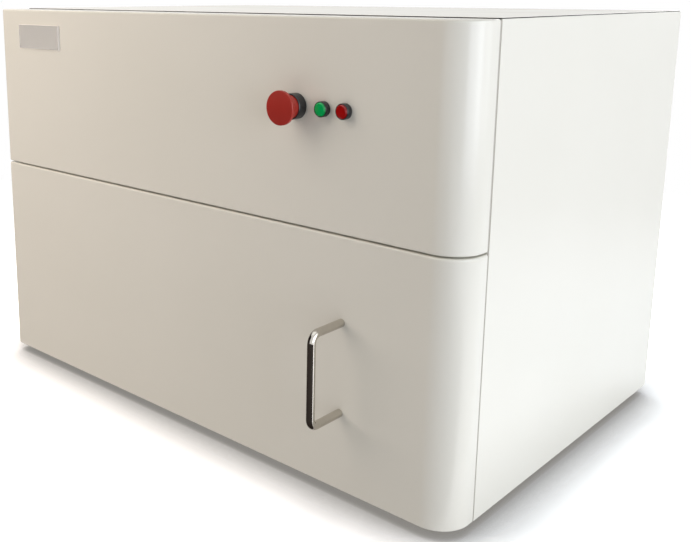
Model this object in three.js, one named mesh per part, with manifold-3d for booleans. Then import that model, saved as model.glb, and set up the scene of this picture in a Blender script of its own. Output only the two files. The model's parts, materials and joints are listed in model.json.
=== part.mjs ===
// Thin-film stress tester: a bench cabinet with a front door, an optical chamber and its controls.
// Units are millimetres. +Z is up, +X is the viewer's right and the front looks towards -Y.
// The case is drawn with its front face on y = 0 and its lower edge on z = 0, and the group that
// holds it then moves it so that the origin lies on the floor below the middle of its box.

import * as THREE from 'three';
import { mergeVertices } from 'three/addons/utils/BufferGeometryUtils.js';
import Module from 'manifold-3d';

const wasm = await Module();
wasm.setup();

// Case
const caseWidth = 840;
const caseDepth = 560;
const caseHeight = 560;
const sheetThickness = 2;
const seamGap = 2;
const fitGap = 0.3;
const cutOverrun = 4;

// Front shells
const doorHeight = 314;
const shellDepth = 50;
const frontCornerRadius = 40;
const leftBendRadius = 6;
const leftReturnDepth = 20;
const shellFlangeDepth = 12;
const hingeSideGap = 3;
const sidePanelLift = 1;

// Bulkhead behind the shells
const frameSetback = 4;
const frameThickness = 3;
const frameFlangeDepth = 23;
const openingLeftBorder = 48;
const openingRightBorder = 70;
const openingBottomBorder = 24;
const openingTopBorder = 22;
const cableWindowWidth = 70;
const cableWindowHeight = 50;

// Base, shelf and top
const baseThickness = 3;
const baseFlangeHeight = 20;
const shelfRise = 4;
const shelfFlangeHeight = 15;
const topFlangeHeight = 15;

// Feet
const footHeight = 12;
const footDiameter = 36;
const footTaper = 3;
const footInsetX = 60;
const footInsetY = 95;
const footScrewDiameter = 10;
const footScrewDepth = 6;

// Nameplate
const plateWidth = 103;
const plateHeight = 36;
const plateThickness = 3;
const plateInset = 52;
const plateDrop = 23.5;

// Handle and its screws
const handleDiameter = 10;
const handlePitch = 112;
const handleReach = 54.6;
const handleBendRadius = 11;
const handleInset = 152.6;
const handleBelowMiddle = 1;
const screwDiameter = 5;
const screwDepth = 12;
const screwHeadDiameter = 8.5;
const screwHeadHeight = 4.5;

// Door liner and gasket
const linerDepth = 45;
const linerSheet = 1.5;
const linerMargin = 13;
const gasketWidth = 8;
const gasketSqueeze = 0.3;

// Concealed hinges
const pivotInset = 12;
const pinDiameter = 6;
const pinHeadDiameter = 10;
const pinHeadHeight = 2;
const hingeLowerRise = 54;
const hingeUpperDrop = 56;
const armThickness = 5;
const armReach = 20;
const armFront = 5;
const armBack = 4;
const armLegWidth = 6.5;
const footPlateThickness = 3;
const footPlateHeight = 32;
const footPlateWidth = 22;
const lugThickness = 7;
const lugLeft = 6;
const lugRight = 8;
const lugBack = 6;

// Latch
const latchInset = 47;
const latchDrop = 124;
const latchWidth = 14;
const latchHeight = 44;
const magnetDepth = 9;
const strikeSheet = 1.5;

// Stop button
const controlDrop = 103;
const estopInset = 225;
const collarDiameter = 30.4;
const collarHeight = 12.5;
const collarChamfer = 1;
const estopBarrelDiameter = 21.4;
const estopBarrelDepth = 22;
const estopBoreDiameter = 13;
const neckDiameter = 27;
const neckClearance = 0.4;
const neckSeatDepth = 6;
const neckEngagement = 1;
const mushroomDiameter = 40;
const mushroomFront = 32.5;
const mushroomRimFront = 30.5;
const mushroomRimBack = 26;
const mushroomFlareBack = 23.5;
const plungerDiameter = 12;
const plungerFront = 27;
const plungerBack = 16;
const contactBlockWidth = 28;
const contactBlockHeight = 40;
const contactBlockDepth = 25;

// Green and red push buttons
const startFromEstop = 40.5;
const stopFromStart = 30.3;
const bezelDiameter = 18;
const bezelHeight = 7.5;
const bezelChamfer = 0.8;
const buttonBarrelDiameter = 15.4;
const buttonBarrelDepth = 24;
const capDiameter = 14.4;
const capProud = 1.5;
const capThickness = 5;
const capChamfer = 1;
const capSeatDepth = 6;
const capClearance = 0.3;
const stemDiameter = 9;
const stemDepth = 15;

// Optical bench and isolators
const benchWidth = 600;
const benchDepth = 360;
const benchThickness = 25;
const benchFront = 95;
const isolatorHeight = 36;
const isolatorDiameter = 34;
const isolatorWaist = 26;
const isolatorInset = 45;

// Rotary stage
const stageFromBenchFront = 137;
const stageWidth = 170;
const stageHeight = 38;
const stageBoreDiameter = 44;
const spindleClearance = 0.6;
const spindleDepth = 26;
const tableDiameter = 212;
const tableThickness = 10;
const tableGap = 1;
const restDiameter = 10;
const restHeight = 4;
const restCircleRadius = 60;
const edgePinDiameter = 5;
const edgePinHeight = 7;
const edgePinCircleRadius = 102.5;

// Gantry
const postWidth = 40;
const postDepth = 40;
const postX = 186;
const postFromBenchFront = 195;
const beamDrop = 92.8;
const beamDepth = 30;
const beamHeight = 30;
const railLength = 340;
const railDepth = 7.7;
const railHeight = 12;
const railLift = 8;

// Scan drive
const screwAxisLift = 28;
const screwAxisForward = 13;
const leadscrewDiameter = 10;
const leadscrewMotorEnd = 20;
const leadscrewOverhang = 2;
const bearingWidth = 14;
const bearingFront = 12;
const bearingHeight = 24;
const motorWidth = 42;
const motorLength = 42;
const motorCornerCut = 4;
const carriageWidth = 90;
const carriageFront = 26;
const carriageTop = 39;
const carriageBottom = 13;
const nutBlockWidth = 30;
const nutBlockHeight = 20;
const nutBlockBack = 3;

// Laser head and detector
const laserWidth = 34;
const laserDepth = 36;
const laserStandoff = 21.3;
const laserTop = 20;
const laserOffset = -23;
const snoutDiameter = 16;
const snoutLength = 10;
const detectorDiameter = 30;
const detectorStandoff = 46.3;
const detectorTop = 14;
const detectorOffset = 23;
const detectorSaddleWidth = 20;
const detectorSaddleInset = 5;

// Electronics
const supplyWidth = 215;
const supplyDepth = 115;
const supplyHeight = 50;
const supplyInset = 190;
const supplyFromRear = 130;
const boardWidth = 220;
const boardDepth = 150;
const boardThickness = 1.6;
const boardFromSupply = 350;
const boardFromRear = 230;
const standoffDiameter = 8;
const standoffHeight = 10;
const standoffInset = 8;
const chipWidth = 36;
const chipHeight = 4;
const heatSinkWidth = 46;
const heatSinkHeight = 22;
const connectorLength = 60;
const connectorDepth = 10;
const connectorHeight = 11;

// Fan
const fanInset = 170;
const fanSize = 80;
const fanDepth = 25;
const fanBoreDiameter = 77;
const fanHubDiameter = 32;
const fanHubLength = 18;
const fanRotorDiameter = 74;
const fanBladeThickness = 1.6;
const fanBladeLength = 17;
const fanStatorDiameter = 30;
const fanStatorLength = 5;
const fanStrutWidth = 4;
const fanStrutDepth = 2.5;
const fanHoleDiameter = 75;
const guardThickness = 2.5;
const guardWireWidth = 2.5;
const guardBarThickness = 1.9;
const guardGap = 6.5;
const guardHubRadius = 9;

// Rear connections and vents
const inletInset = 90;
const inletRise = 80;
const inletWidth = 50;
const inletHeight = 62;
const inletFlange = 3;
const inletBodyMargin = 4;
const inletBodyDepth = 26;
const socketWidth = 25;
const socketHeight = 17;
const socketDepth = 17;
const socketDrop = 13;
const socketPinWidth = 2;
const socketPinHeight = 4;
const socketPinLength = 13;
const socketPinPitch = 7;
const rockerLength = 24;
const rockerWidth = 12;
const rockerThickness = 7;
const rockerDip = 1.8;
const rockerClearance = 0.4;
const rockerEndClearance = 1.6;
const rockerLift = 15;
const rockerDepth = 11;
const rockerPivotDepth = 3;
const portInset = 180;
const portRise = 70;
const portWidth = 34;
const portHeight = 26;
const portFlange = 2;
const portMargin = 5;
const portBodyDepth = 18;
const portSocketWidth = 12;
const portSocketHeight = 11;
const portSocketDepth = 12;
const ventInset = 360;
const ventRise = 120;
const ventPitch = 12;
const ventWidth = 4;
const ventHeight = 70;

// Counts, angles and shares
const footSides = 24;
const fineSides = 32;
const roundSides = 24;
const smallSides = 12;
const cornerSegments = 6;
const handleSteps = 36;
const handleSides = 12;
const fanBladeCount = 7;
const fanBladePitch = Math.PI / 5;
const guardRingCount = 4;
const guardArcSegments = 5;
const ventCount = 10;
const waferPointCount = 3;
const crownSteps = 4;
const rockerRestAngle = Math.PI / 18;
const heatSinkFinCount = 5;
const finThicknessShare = 0.45;
const heatSinkBaseShare = 0.25;
const pinOffsetShare = 0.25;
const quarterTurn = Math.PI / 2;
const halfTurn = Math.PI;
const fullTurn = Math.PI * 2;

// Places that several pieces share
const halfWidth = caseWidth / 2;
const insideHalfWidth = halfWidth - sheetThickness - fitGap;
const frameFront = shellDepth + frameSetback;
const frameBack = frameFront + frameThickness;
const rearInside = caseDepth - sheetThickness - fitGap;
const topInside = caseHeight - sheetThickness - fitGap;
const upperPanelBottom = doorHeight + seamGap;
const openingLeft = -halfWidth + openingLeftBorder;
const openingRight = halfWidth - openingRightBorder;
const openingTop = doorHeight - openingTopBorder;
const flangeStart = frameBack + frameFlangeDepth + seamGap;
const linerLeft = openingLeft - linerMargin;
const linerRight = openingRight + linerMargin;
const linerFront = sheetThickness + fitGap;
const linerBack = linerFront + linerDepth;
const pivotX = -halfWidth + pivotInset;
const benchBottom = baseThickness + isolatorHeight + 2 * fitGap;
const benchTop = benchBottom + benchThickness;
const stageY = benchFront + stageFromBenchFront;
const stageTop = benchTop + fitGap + stageHeight;
const tableTop = stageTop + tableGap + tableThickness;
const waferPlane = tableTop + restHeight;
const shelfUnderside = doorHeight + shelfRise;
const shelfTop = shelfUnderside + sheetThickness;
const beamBottom = shelfUnderside - beamDrop;
const postTop = beamBottom - fitGap;
const postY = benchFront + postFromBenchFront;
const beamFront = postY - beamDepth / 2;
const beamHalfLength = postX + postWidth / 2;
const railFront = beamFront - fitGap - railDepth;
const screwAxisY = beamFront - screwAxisForward;
const screwAxisZ = beamBottom + screwAxisLift;
const carriageFace = beamFront - carriageFront;
const controlZ = caseHeight - controlDrop;
const estopX = halfWidth - estopInset;
const startX = estopX + startFromEstop;
const stopX = startX + stopFromStart;
const handleX = halfWidth - handleInset;
const fanX = -halfWidth + fanInset;
const fanZ = (shelfTop + caseHeight) / 2;
const inletX = halfWidth - inletInset;
const inletZ = shelfTop + inletRise;
const portX = halfWidth - portInset;
const portZ = shelfTop + portRise;
const rearFace = caseDepth + fitGap;
const rockerY = rearFace + inletFlange - rockerPivotDepth;
const frontReach = handleReach + handleDiameter / 2;
const rockerReach = (rockerLength * Math.sin(rockerRestAngle)
  + rockerThickness * Math.cos(rockerRestAngle)) / 2;
const rearReach = rockerY + rockerReach;

function finish(color, roughness, metalness) {
  return () => new THREE.MeshStandardMaterial({ color, roughness, metalness, flatShading: true });
}

const paint = finish(0xe6e1d6, 0.45, 0);
const zincSteel = finish(0xb5b8ba, 0.5, 0.9);
const stainless = finish(0xc8c8c6, 0.15, 1);
const aluminium = finish(0xc5c8cc, 0.4, 0.9);
const blackAnodised = finish(0x232427, 0.45, 0.6);
const rubber = finish(0x1d1d1d, 0.85, 0);
const blackPlastic = finish(0x2a2a2b, 0.45, 0);
const redPlastic = finish(0xa5221c, 0.35, 0);
const greenPlastic = finish(0x078a47, 0.35, 0);
const acrylic = finish(0xcfc8c8, 0.1, 0);
const circuitBoard = finish(0x1d5a3b, 0.5, 0.1);

const instrument = new THREE.Group();
instrument.position.set(0, (frontReach - rearReach) / 2, footHeight);

// A closed geometry as a solid, turned the right way out
function solid(geometry) {
  geometry.deleteAttribute('normal');
  geometry.deleteAttribute('uv');
  const merged = mergeVertices(geometry);
  const points = merged.attributes.position;
  const index = merged.index.array;
  const faces = [];
  let volume = 0;
  const a = new THREE.Vector3();
  const b = new THREE.Vector3();
  const c = new THREE.Vector3();
  for (let i = 0; i < index.length; i += 3) {
    const [p, q, r] = index.slice(i, i + 3);
    const isFlat = p === q || q === r || r === p;
    if (!isFlat) {
      a.fromBufferAttribute(points, p);
      b.fromBufferAttribute(points, q);
      c.fromBufferAttribute(points, r);
      volume += a.dot(b.cross(c));
      faces.push(p, q, r);
    }
  }
  if (volume < 0) faces.reverse();
  const vertProperties = new Float32Array(points.array);
  const triVerts = new Uint32Array(faces);
  return new wasm.Manifold(new wasm.Mesh({ numProp: 3, vertProperties, triVerts }));
}

function joined(...solids) {
  return solids.reduce((whole, next) => whole.add(next));
}

function cutBy(body, ...tools) {
  return tools.reduce((left, tool) => left.subtract(tool), body);
}

function addPiece(name, body, material) {
  const cut = body.getMesh();
  const geometry = new THREE.BufferGeometry();
  geometry.setAttribute('position', new THREE.BufferAttribute(cut.vertProperties, cut.numProp));
  geometry.setIndex(new THREE.BufferAttribute(cut.triVerts, 1));
  geometry.computeVertexNormals();
  const mesh = new THREE.Mesh(geometry, material);
  mesh.name = name;
  instrument.add(mesh);
}

// A box between two corners
function block(low, high) {
  const size = high.map((value, axis) => value - low[axis]);
  const middle = low.map((value, axis) => (value + high[axis]) / 2);
  const geometry = new THREE.BoxGeometry(1, 1, 1);
  geometry.applyMatrix4(new THREE.Matrix4().makeScale(...size).setPosition(...middle));
  return solid(geometry);
}

// A slice of one unit of length with the given outline
function slice(shape, curveSegments) {
  return new THREE.ExtrudeGeometry(shape, { depth: 1, bevelEnabled: false, curveSegments });
}

// An outline drawn in X and Y, raised between two heights
function raised(shape, low, high) {
  const geometry = slice(shape, cornerSegments);
  geometry.applyMatrix4(new THREE.Matrix4().makeScale(1, 1, high - low).setPosition(0, 0, low));
  return solid(geometry);
}

// An outline drawn in X and Z, run back between two depths
function runBack(shape, front, back, segments = cornerSegments) {
  const geometry = slice(shape, segments);
  geometry.applyMatrix4(new THREE.Matrix4().set(
    1, 0, 0, 0,
    0, 0, front - back, back,
    0, 1, 0, 0,
    0, 0, 0, 1,
  ));
  return solid(geometry);
}

// A round bar along one axis: 'x', 'y' or 'z'
function bar(axis, diameter, start, end, centre, sides = roundSides) {
  const geometry = new THREE.CylinderGeometry(diameter / 2, diameter / 2, end - start, sides);
  const middle = (start + end) / 2;
  if (axis === 'x') {
    geometry.rotateZ(-quarterTurn);
    geometry.translate(middle, centre[0], centre[1]);
  } else if (axis === 'y') {
    geometry.translate(centre[0], middle, centre[1]);
  } else {
    geometry.rotateX(quarterTurn);
    geometry.translate(centre[0], centre[1], middle);
  }
  return solid(geometry);
}

// A profile of [radius, depth] pairs turned about an axis that runs front to back at x, z
function turned(profile, x, z, sides = fineSides) {
  const points = profile.map(([radius, depth]) => new THREE.Vector2(radius, depth));
  const geometry = new THREE.LatheGeometry(points, sides);
  geometry.translate(x, 0, z);
  return solid(geometry);
}

// Plan of a front shell: the front face, the wide right corner and the tight left one
function shellPlan() {
  const right = halfWidth;
  const left = -halfWidth;
  const shape = new THREE.Shape();
  shape.moveTo(right, shellDepth);
  shape.lineTo(right, frontCornerRadius);
  shape.absarc(right - frontCornerRadius, frontCornerRadius, frontCornerRadius, 0, -quarterTurn, true);
  shape.lineTo(left + leftBendRadius, 0);
  shape.absarc(left + leftBendRadius, leftBendRadius, leftBendRadius, -quarterTurn, -halfTurn, true);
  shape.lineTo(left, shellDepth);
  shape.closePath();
  return shape;
}

// Plan of the space behind a shell wall or flange of the given depth, open to the back
function hollowPlan(depth) {
  const right = halfWidth;
  const left = -halfWidth;
  const back = shellDepth + cutOverrun;
  const rightRadius = frontCornerRadius - depth;
  const leftRadius = leftBendRadius - depth;
  const shape = new THREE.Shape();
  shape.moveTo(right - depth, back);
  shape.lineTo(right - depth, frontCornerRadius);
  shape.absarc(right - frontCornerRadius, frontCornerRadius, rightRadius, 0, -quarterTurn, true);
  if (leftRadius > 0) {
    shape.lineTo(left + leftBendRadius, depth);
    shape.absarc(left + leftBendRadius, leftBendRadius, leftRadius, -quarterTurn, -halfTurn, true);
  } else {
    shape.lineTo(left + depth, depth);
  }
  shape.lineTo(left + depth, back);
  shape.closePath();
  return shape;
}

function panelHole(x, z, diameter, sides) {
  return bar('y', diameter + 2 * fitGap, -cutOverrun, sheetThickness + cutOverrun, [x, z], sides);
}

function addDoorPanel() {
  const slab = raised(shellPlan(), 0, doorHeight);
  const hollow = raised(hollowPlan(sheetThickness), sheetThickness, doorHeight - sheetThickness);
  const between = raised(hollowPlan(shellFlangeDepth), -cutOverrun, doorHeight + cutOverrun);
  const leftNotch = block([-halfWidth - cutOverrun, leftReturnDepth, -cutOverrun],
    [-halfWidth + shellFlangeDepth + cutOverrun, shellDepth + cutOverrun, doorHeight + cutOverrun]);
  const screwHoles = handleArmHeights().map((z) => panelHole(handleX, z, screwDiameter, smallSides));
  addPiece('door_panel', cutBy(slab, hollow, between, leftNotch, ...screwHoles), paint());
}

function addUpperFrontPanel() {
  const low = upperPanelBottom;
  const slab = raised(shellPlan(), low, caseHeight);
  const hollow = raised(hollowPlan(sheetThickness), low + sheetThickness, caseHeight - sheetThickness);
  const between = raised(hollowPlan(shellFlangeDepth), low - cutOverrun, (low + caseHeight) / 2);
  const leftNotch = block([-halfWidth - cutOverrun, leftReturnDepth, low - cutOverrun],
    [-insideHalfWidth, shellDepth + cutOverrun, caseHeight + cutOverrun]);
  const holes = [
    panelHole(estopX, controlZ, estopBarrelDiameter, roundSides),
    panelHole(startX, controlZ, buttonBarrelDiameter, roundSides),
    panelHole(stopX, controlZ, buttonBarrelDiameter, roundSides),
  ];
  addPiece('upper_front_panel', cutBy(slab, hollow, between, leftNotch, ...holes), paint());
}

function addSidePanels() {
  const outer = halfWidth;
  const inner = halfWidth - sheetThickness;
  const rightFront = shellDepth + seamGap;
  const leftFront = leftReturnDepth + hingeSideGap;
  const right = block([inner, rightFront, sidePanelLift], [outer, caseDepth, caseHeight]);
  const left = block([-outer, leftFront, sidePanelLift], [-inner, caseDepth, caseHeight]);
  addPiece('right_side_panel', right, paint());
  addPiece('left_side_panel', left, paint());
}

function addFrontFrame() {
  const outer = insideHalfWidth;
  const inner = outer - sheetThickness;
  const back = frameBack + frameFlangeDepth;
  const plan = new THREE.Shape();
  plan.moveTo(-outer, frameFront);
  plan.lineTo(outer, frameFront);
  plan.lineTo(outer, back);
  plan.lineTo(inner, back);
  plan.lineTo(inner, frameBack);
  plan.lineTo(-inner, frameBack);
  plan.lineTo(-inner, back);
  plan.lineTo(-outer, back);
  plan.closePath();
  const opening = block([openingLeft, frameFront - cutOverrun, openingBottomBorder],
    [openingRight, frameBack + cutOverrun, openingTop]);
  const windowLow = controlZ - cableWindowHeight / 2;
  const window = block([estopX, frameFront - cutOverrun, windowLow],
    [estopX + cableWindowWidth, frameBack + cutOverrun, windowLow + cableWindowHeight]);
  const roomForBase = block([-halfWidth, frameBack + fitGap / 2, -cutOverrun],
    [halfWidth, back + cutOverrun, baseThickness + fitGap]);
  addPiece('front_frame', cutBy(raised(plan, 0, topInside), opening, window, roomForBase), zincSteel());
}

// Plan of what is cut away between the flanges of a folded sheet, and across its front as far back
// as the side flanges start
function betweenFlanges(half, front, back, sideStart) {
  const outer = half + cutOverrun;
  const inner = half - sheetThickness;
  const shape = new THREE.Shape();
  shape.moveTo(-outer, front - cutOverrun);
  shape.lineTo(outer, front - cutOverrun);
  shape.lineTo(outer, sideStart);
  shape.lineTo(inner, sideStart);
  shape.lineTo(inner, back - sheetThickness);
  shape.lineTo(-inner, back - sheetThickness);
  shape.lineTo(-inner, sideStart);
  shape.lineTo(-outer, sideStart);
  shape.closePath();
  return shape;
}

function addBasePlate() {
  const front = frameBack + fitGap;
  const top = baseThickness + baseFlangeHeight;
  const slab = block([-insideHalfWidth, front, 0], [insideHalfWidth, rearInside, top]);
  const plan = betweenFlanges(insideHalfWidth, front, rearInside, flangeStart);
  const tray = raised(plan, baseThickness, top + cutOverrun);
  addPiece('base_plate', cutBy(slab, tray), zincSteel());
}

function addMiddleShelf() {
  const half = insideHalfWidth - sheetThickness - fitGap;
  const front = frameBack + fitGap;
  const low = shelfUnderside - shelfFlangeHeight;
  const slab = block([-half, front, low], [half, rearInside, shelfTop]);
  const under = block([-half + sheetThickness, front + sheetThickness, low - cutOverrun],
    [half - sheetThickness, rearInside - sheetThickness, shelfUnderside]);
  addPiece('middle_shelf', cutBy(slab, under), zincSteel());
}

function addTopPanel() {
  const front = shellDepth + seamGap;
  const underside = caseHeight - sheetThickness;
  const low = underside - topFlangeHeight;
  const slab = block([-insideHalfWidth, front, low], [insideHalfWidth, caseDepth, caseHeight]);
  const plan = betweenFlanges(insideHalfWidth, front, rearInside, flangeStart);
  const under = raised(plan, low - cutOverrun, underside);
  const roomForRear = block([-halfWidth, rearInside, low - cutOverrun],
    [halfWidth, caseDepth + cutOverrun, underside]);
  addPiece('top_panel', cutBy(slab, under, roomForRear), paint());
}

function addRearPanel() {
  const outside = rearInside + fitGap;
  const plate = block([-insideHalfWidth, outside, 0], [insideHalfWidth, caseDepth, topInside]);
  const front = outside - cutOverrun;
  const back = caseDepth + cutOverrun;
  const window = (x, z, halfX, halfZ) => block([x - halfX, front, z - halfZ], [x + halfX, back, z + halfZ]);
  const inletEdge = inletBodyMargin - fitGap;
  const portEdge = portMargin - fitGap;
  const holes = [
    bar('y', fanHoleDiameter, front, back, [fanX, fanZ], fineSides),
    window(inletX, inletZ, inletWidth / 2 - inletEdge, inletHeight / 2 - inletEdge),
    window(portX, portZ, portWidth / 2 - portEdge, portHeight / 2 - portEdge),
  ];
  for (let i = 0; i < ventCount; i += 1) {
    const slotX = halfWidth - ventInset + i * ventPitch;
    holes.push(window(slotX, ventRise, ventWidth / 2, ventHeight / 2));
  }
  addPiece('rear_panel', cutBy(plate, ...holes), paint());
}

function addFeet() {
  const places = {
    foot_front_left: [-halfWidth + footInsetX, footInsetY],
    foot_front_right: [halfWidth - footInsetX, footInsetY],
    foot_rear_left: [-halfWidth + footInsetX, caseDepth - footInsetX],
    foot_rear_right: [halfWidth - footInsetX, caseDepth - footInsetX],
  };
  for (const [name, [x, y]] of Object.entries(places)) {
    const geometry = new THREE.CylinderGeometry(footDiameter / 2, footDiameter / 2 - footTaper,
      footHeight - fitGap, footSides);
    geometry.rotateX(quarterTurn);
    geometry.translate(x, y, -footHeight + (footHeight - fitGap) / 2);
    const screwTop = -footHeight + footScrewDepth;
    const screwHole = bar('z', footScrewDiameter, -footHeight - cutOverrun, screwTop, [x, y], smallSides);
    addPiece(name, cutBy(solid(geometry), screwHole), rubber());
  }
}

function addNameplate() {
  const left = -halfWidth + plateInset;
  const high = caseHeight - plateDrop;
  const plate = block([left, -fitGap - plateThickness, high - plateHeight],
    [left + plateWidth, -fitGap, high]);
  addPiece('nameplate', plate, acrylic());
}

function handleArmHeights() {
  const middle = doorHeight / 2 - handleBelowMiddle;
  return [middle - handlePitch / 2, middle + handlePitch / 2];
}

function addHandle() {
  const [low, high] = handleArmHeights();
  const path = new THREE.CurvePath();
  const at = (y, z) => new THREE.Vector3(handleX, y, z);
  const line = (from, to) => path.add(new THREE.LineCurve3(from, to));
  const bend = (from, corner, to) => path.add(new THREE.QuadraticBezierCurve3(from, corner, to));
  const armEnd = -handleReach + handleBendRadius;
  const barLow = low + handleBendRadius;
  const barHigh = high - handleBendRadius;
  line(at(-fitGap, low), at(armEnd, low));
  bend(at(armEnd, low), at(-handleReach, low), at(-handleReach, barLow));
  line(at(-handleReach, barLow), at(-handleReach, barHigh));
  bend(at(-handleReach, barHigh), at(-handleReach, high), at(armEnd, high));
  line(at(armEnd, high), at(-fitGap, high));
  const corners = [];
  for (let i = 0; i < handleSides; i += 1) {
    const angle = fullTurn * i / handleSides;
    corners.push(new THREE.Vector2(Math.cos(angle), Math.sin(angle)).multiplyScalar(handleDiameter / 2));
  }
  const section = new THREE.Shape(corners);
  const tube = solid(new THREE.ExtrudeGeometry(section, {
    steps: handleSteps,
    bevelEnabled: false,
    extrudePath: path,
  }));
  const threads = [low, high].map((z) => {
    const hole = screwDiameter + 2 * fitGap;
    return bar('y', hole, -screwDepth - fitGap, cutOverrun, [handleX, z], smallSides);
  });
  addPiece('door_handle', cutBy(tube, ...threads), stainless());
  const headFront = sheetThickness + fitGap;
  for (const [name, z] of Object.entries({ handle_screw_lower: low, handle_screw_upper: high })) {
    const centre = [handleX, z];
    const shank = bar('y', screwDiameter, -screwDepth, headFront + fitGap, centre, smallSides);
    const head = bar('y', screwHeadDiameter, headFront, headFront + screwHeadHeight, centre, smallSides);
    addPiece(name, joined(shank, head), zincSteel());
  }
}

// The edge of the chamber opening, moved outwards by a margin
function openingOutline(margin) {
  const shape = new THREE.Shape();
  shape.moveTo(openingLeft - margin, openingBottomBorder - margin);
  shape.lineTo(openingRight + margin, openingBottomBorder - margin);
  shape.lineTo(openingRight + margin, openingTop + margin);
  shape.lineTo(openingLeft - margin, openingTop + margin);
  shape.closePath();
  return shape;
}

function addLinerAndGasket() {
  const low = openingBottomBorder - linerMargin;
  const high = openingTop + linerMargin;
  const outer = block([linerLeft, linerFront, low], [linerRight, linerBack, high]);
  const hollow = block([linerLeft + linerSheet, linerFront - cutOverrun, low + linerSheet],
    [linerRight - linerSheet, linerBack - linerSheet, high - linerSheet]);
  addPiece('door_liner', cutBy(outer, hollow), paint());
  const ring = openingOutline(gasketWidth);
  ring.holes.push(openingOutline(0));
  addPiece('door_gasket', runBack(ring, linerBack + gasketSqueeze, frameFront - fitGap), rubber());
}

// One hidden hinge: a gooseneck arm on the frame, its pin, and the lug on the door that turns on it
function addHinge(level, armTop) {
  const armBottom = armTop - armThickness;
  const legLeft = pivotX + armReach - armLegWidth;
  const legBack = frameFront - fitGap;
  const front = pivotInset - armFront;
  const plan = new THREE.Shape();
  plan.moveTo(pivotX - lugLeft, front);
  plan.lineTo(pivotX + armReach, front);
  plan.lineTo(pivotX + armReach, legBack - footPlateThickness / 2);
  plan.lineTo(legLeft, legBack - footPlateThickness / 2);
  plan.lineTo(legLeft, pivotInset + armBack);
  plan.lineTo(pivotX - lugLeft, pivotInset + armBack);
  plan.closePath();
  const plateLow = armTop - footPlateHeight / 2;
  const footPlate = block([pivotX, legBack - footPlateThickness, plateLow],
    [pivotX + footPlateWidth, legBack, plateLow + footPlateHeight]);
  const holeDiameter = pinDiameter + 2 * fitGap;
  const pivot = [pivotX, pivotInset];
  const holeTop = armTop + lugThickness + cutOverrun;
  const hole = bar('z', holeDiameter, armBottom - cutOverrun, holeTop, pivot);
  const arm = raised(plan, armBottom, armTop);
  addPiece(`hinge_bracket_${level}`, cutBy(joined(arm, footPlate), hole), zincSteel());
  const lugBottom = armTop + fitGap;
  const lug = block([pivotX - lugLeft, sheetThickness + fitGap, lugBottom],
    [pivotX + lugRight, pivotInset + lugBack, lugBottom + lugThickness]);
  addPiece(`hinge_lug_${level}`, cutBy(lug, hole), zincSteel());
  const headTop = armBottom - fitGap;
  const shank = bar('z', pinDiameter, headTop - pinHeadHeight / 2, lugBottom + lugThickness, pivot);
  const head = bar('z', pinHeadDiameter, headTop - pinHeadHeight, headTop, pivot);
  addPiece(`hinge_pin_${level}`, joined(shank, head), stainless());
}

function addLatch() {
  const left = halfWidth - latchInset - latchWidth / 2;
  const right = left + latchWidth;
  const low = doorHeight - latchDrop - latchHeight / 2;
  const high = low + latchHeight;
  const magnetBack = frameFront - fitGap;
  const magnetFront = magnetBack - magnetDepth;
  const magnet = block([left, magnetFront, low], [right, magnetBack, high]);
  addPiece('latch_magnet', magnet, blackPlastic());
  const doorSide = sheetThickness + fitGap;
  const strikeBack = magnetFront - fitGap;
  const plan = new THREE.Shape();
  plan.moveTo(left, doorSide);
  plan.lineTo(right, doorSide);
  plan.lineTo(right, strikeBack);
  plan.lineTo(left, strikeBack);
  plan.lineTo(left, strikeBack - strikeSheet);
  plan.lineTo(right - strikeSheet, strikeBack - strikeSheet);
  plan.lineTo(right - strikeSheet, doorSide + strikeSheet);
  plan.lineTo(left, doorSide + strikeSheet);
  plan.closePath();
  addPiece('latch_strike', raised(plan, low, high), zincSteel());
}

function addStopButton() {
  const collarRadius = collarDiameter / 2;
  const barrelRadius = estopBarrelDiameter / 2;
  const boreRadius = estopBoreDiameter / 2;
  const seatRadius = neckDiameter / 2 + neckClearance;
  const front = -fitGap - collarHeight;
  const barrelEnd = sheetThickness + estopBarrelDepth;
  addPiece('estop_collar', turned([
    [boreRadius, front + neckSeatDepth],
    [seatRadius, front + neckSeatDepth],
    [seatRadius, front],
    [collarRadius - collarChamfer, front],
    [collarRadius, front + collarChamfer],
    [collarRadius, -fitGap],
    [barrelRadius, -fitGap],
    [barrelRadius, barrelEnd],
    [boreRadius, barrelEnd],
    [boreRadius, front + neckSeatDepth],
  ], estopX, controlZ), blackPlastic());
  const blockFront = barrelEnd + fitGap;
  const blockBack = blockFront + contactBlockDepth;
  const halfX = contactBlockWidth / 2;
  const halfZ = contactBlockHeight / 2;
  const contacts = block([estopX - halfX, blockFront, controlZ - halfZ],
    [estopX + halfX, blockBack, controlZ + halfZ]);
  addPiece('estop_contact_block', contacts, blackPlastic());
  const plunger = bar('y', plungerDiameter, -plungerFront, plungerBack, [estopX, controlZ]);
  addPiece('estop_plunger', plunger, blackPlastic());
  const headRadius = mushroomDiameter / 2;
  const neckRadius = neckDiameter / 2;
  const neckBack = front + neckEngagement;
  const socketRadius = plungerDiameter / 2 + fitGap;
  const crown = [];
  for (let i = 0; i < crownSteps; i += 1) {
    const share = i / crownSteps;
    const drop = (mushroomFront - mushroomRimFront) * share * share;
    crown.push([(headRadius - collarChamfer) * share, -mushroomFront + drop]);
  }
  addPiece('estop_mushroom', turned([
    ...crown,
    [headRadius - collarChamfer, -mushroomRimFront],
    [headRadius, -(mushroomRimFront + mushroomRimBack) / 2],
    [headRadius - collarChamfer, -mushroomRimBack],
    [neckRadius, -mushroomFlareBack],
    [neckRadius, neckBack],
    [socketRadius, neckBack],
    [socketRadius, -plungerFront - fitGap],
    [0, -plungerFront - fitGap],
  ], estopX, controlZ), redPlastic());
}

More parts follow.
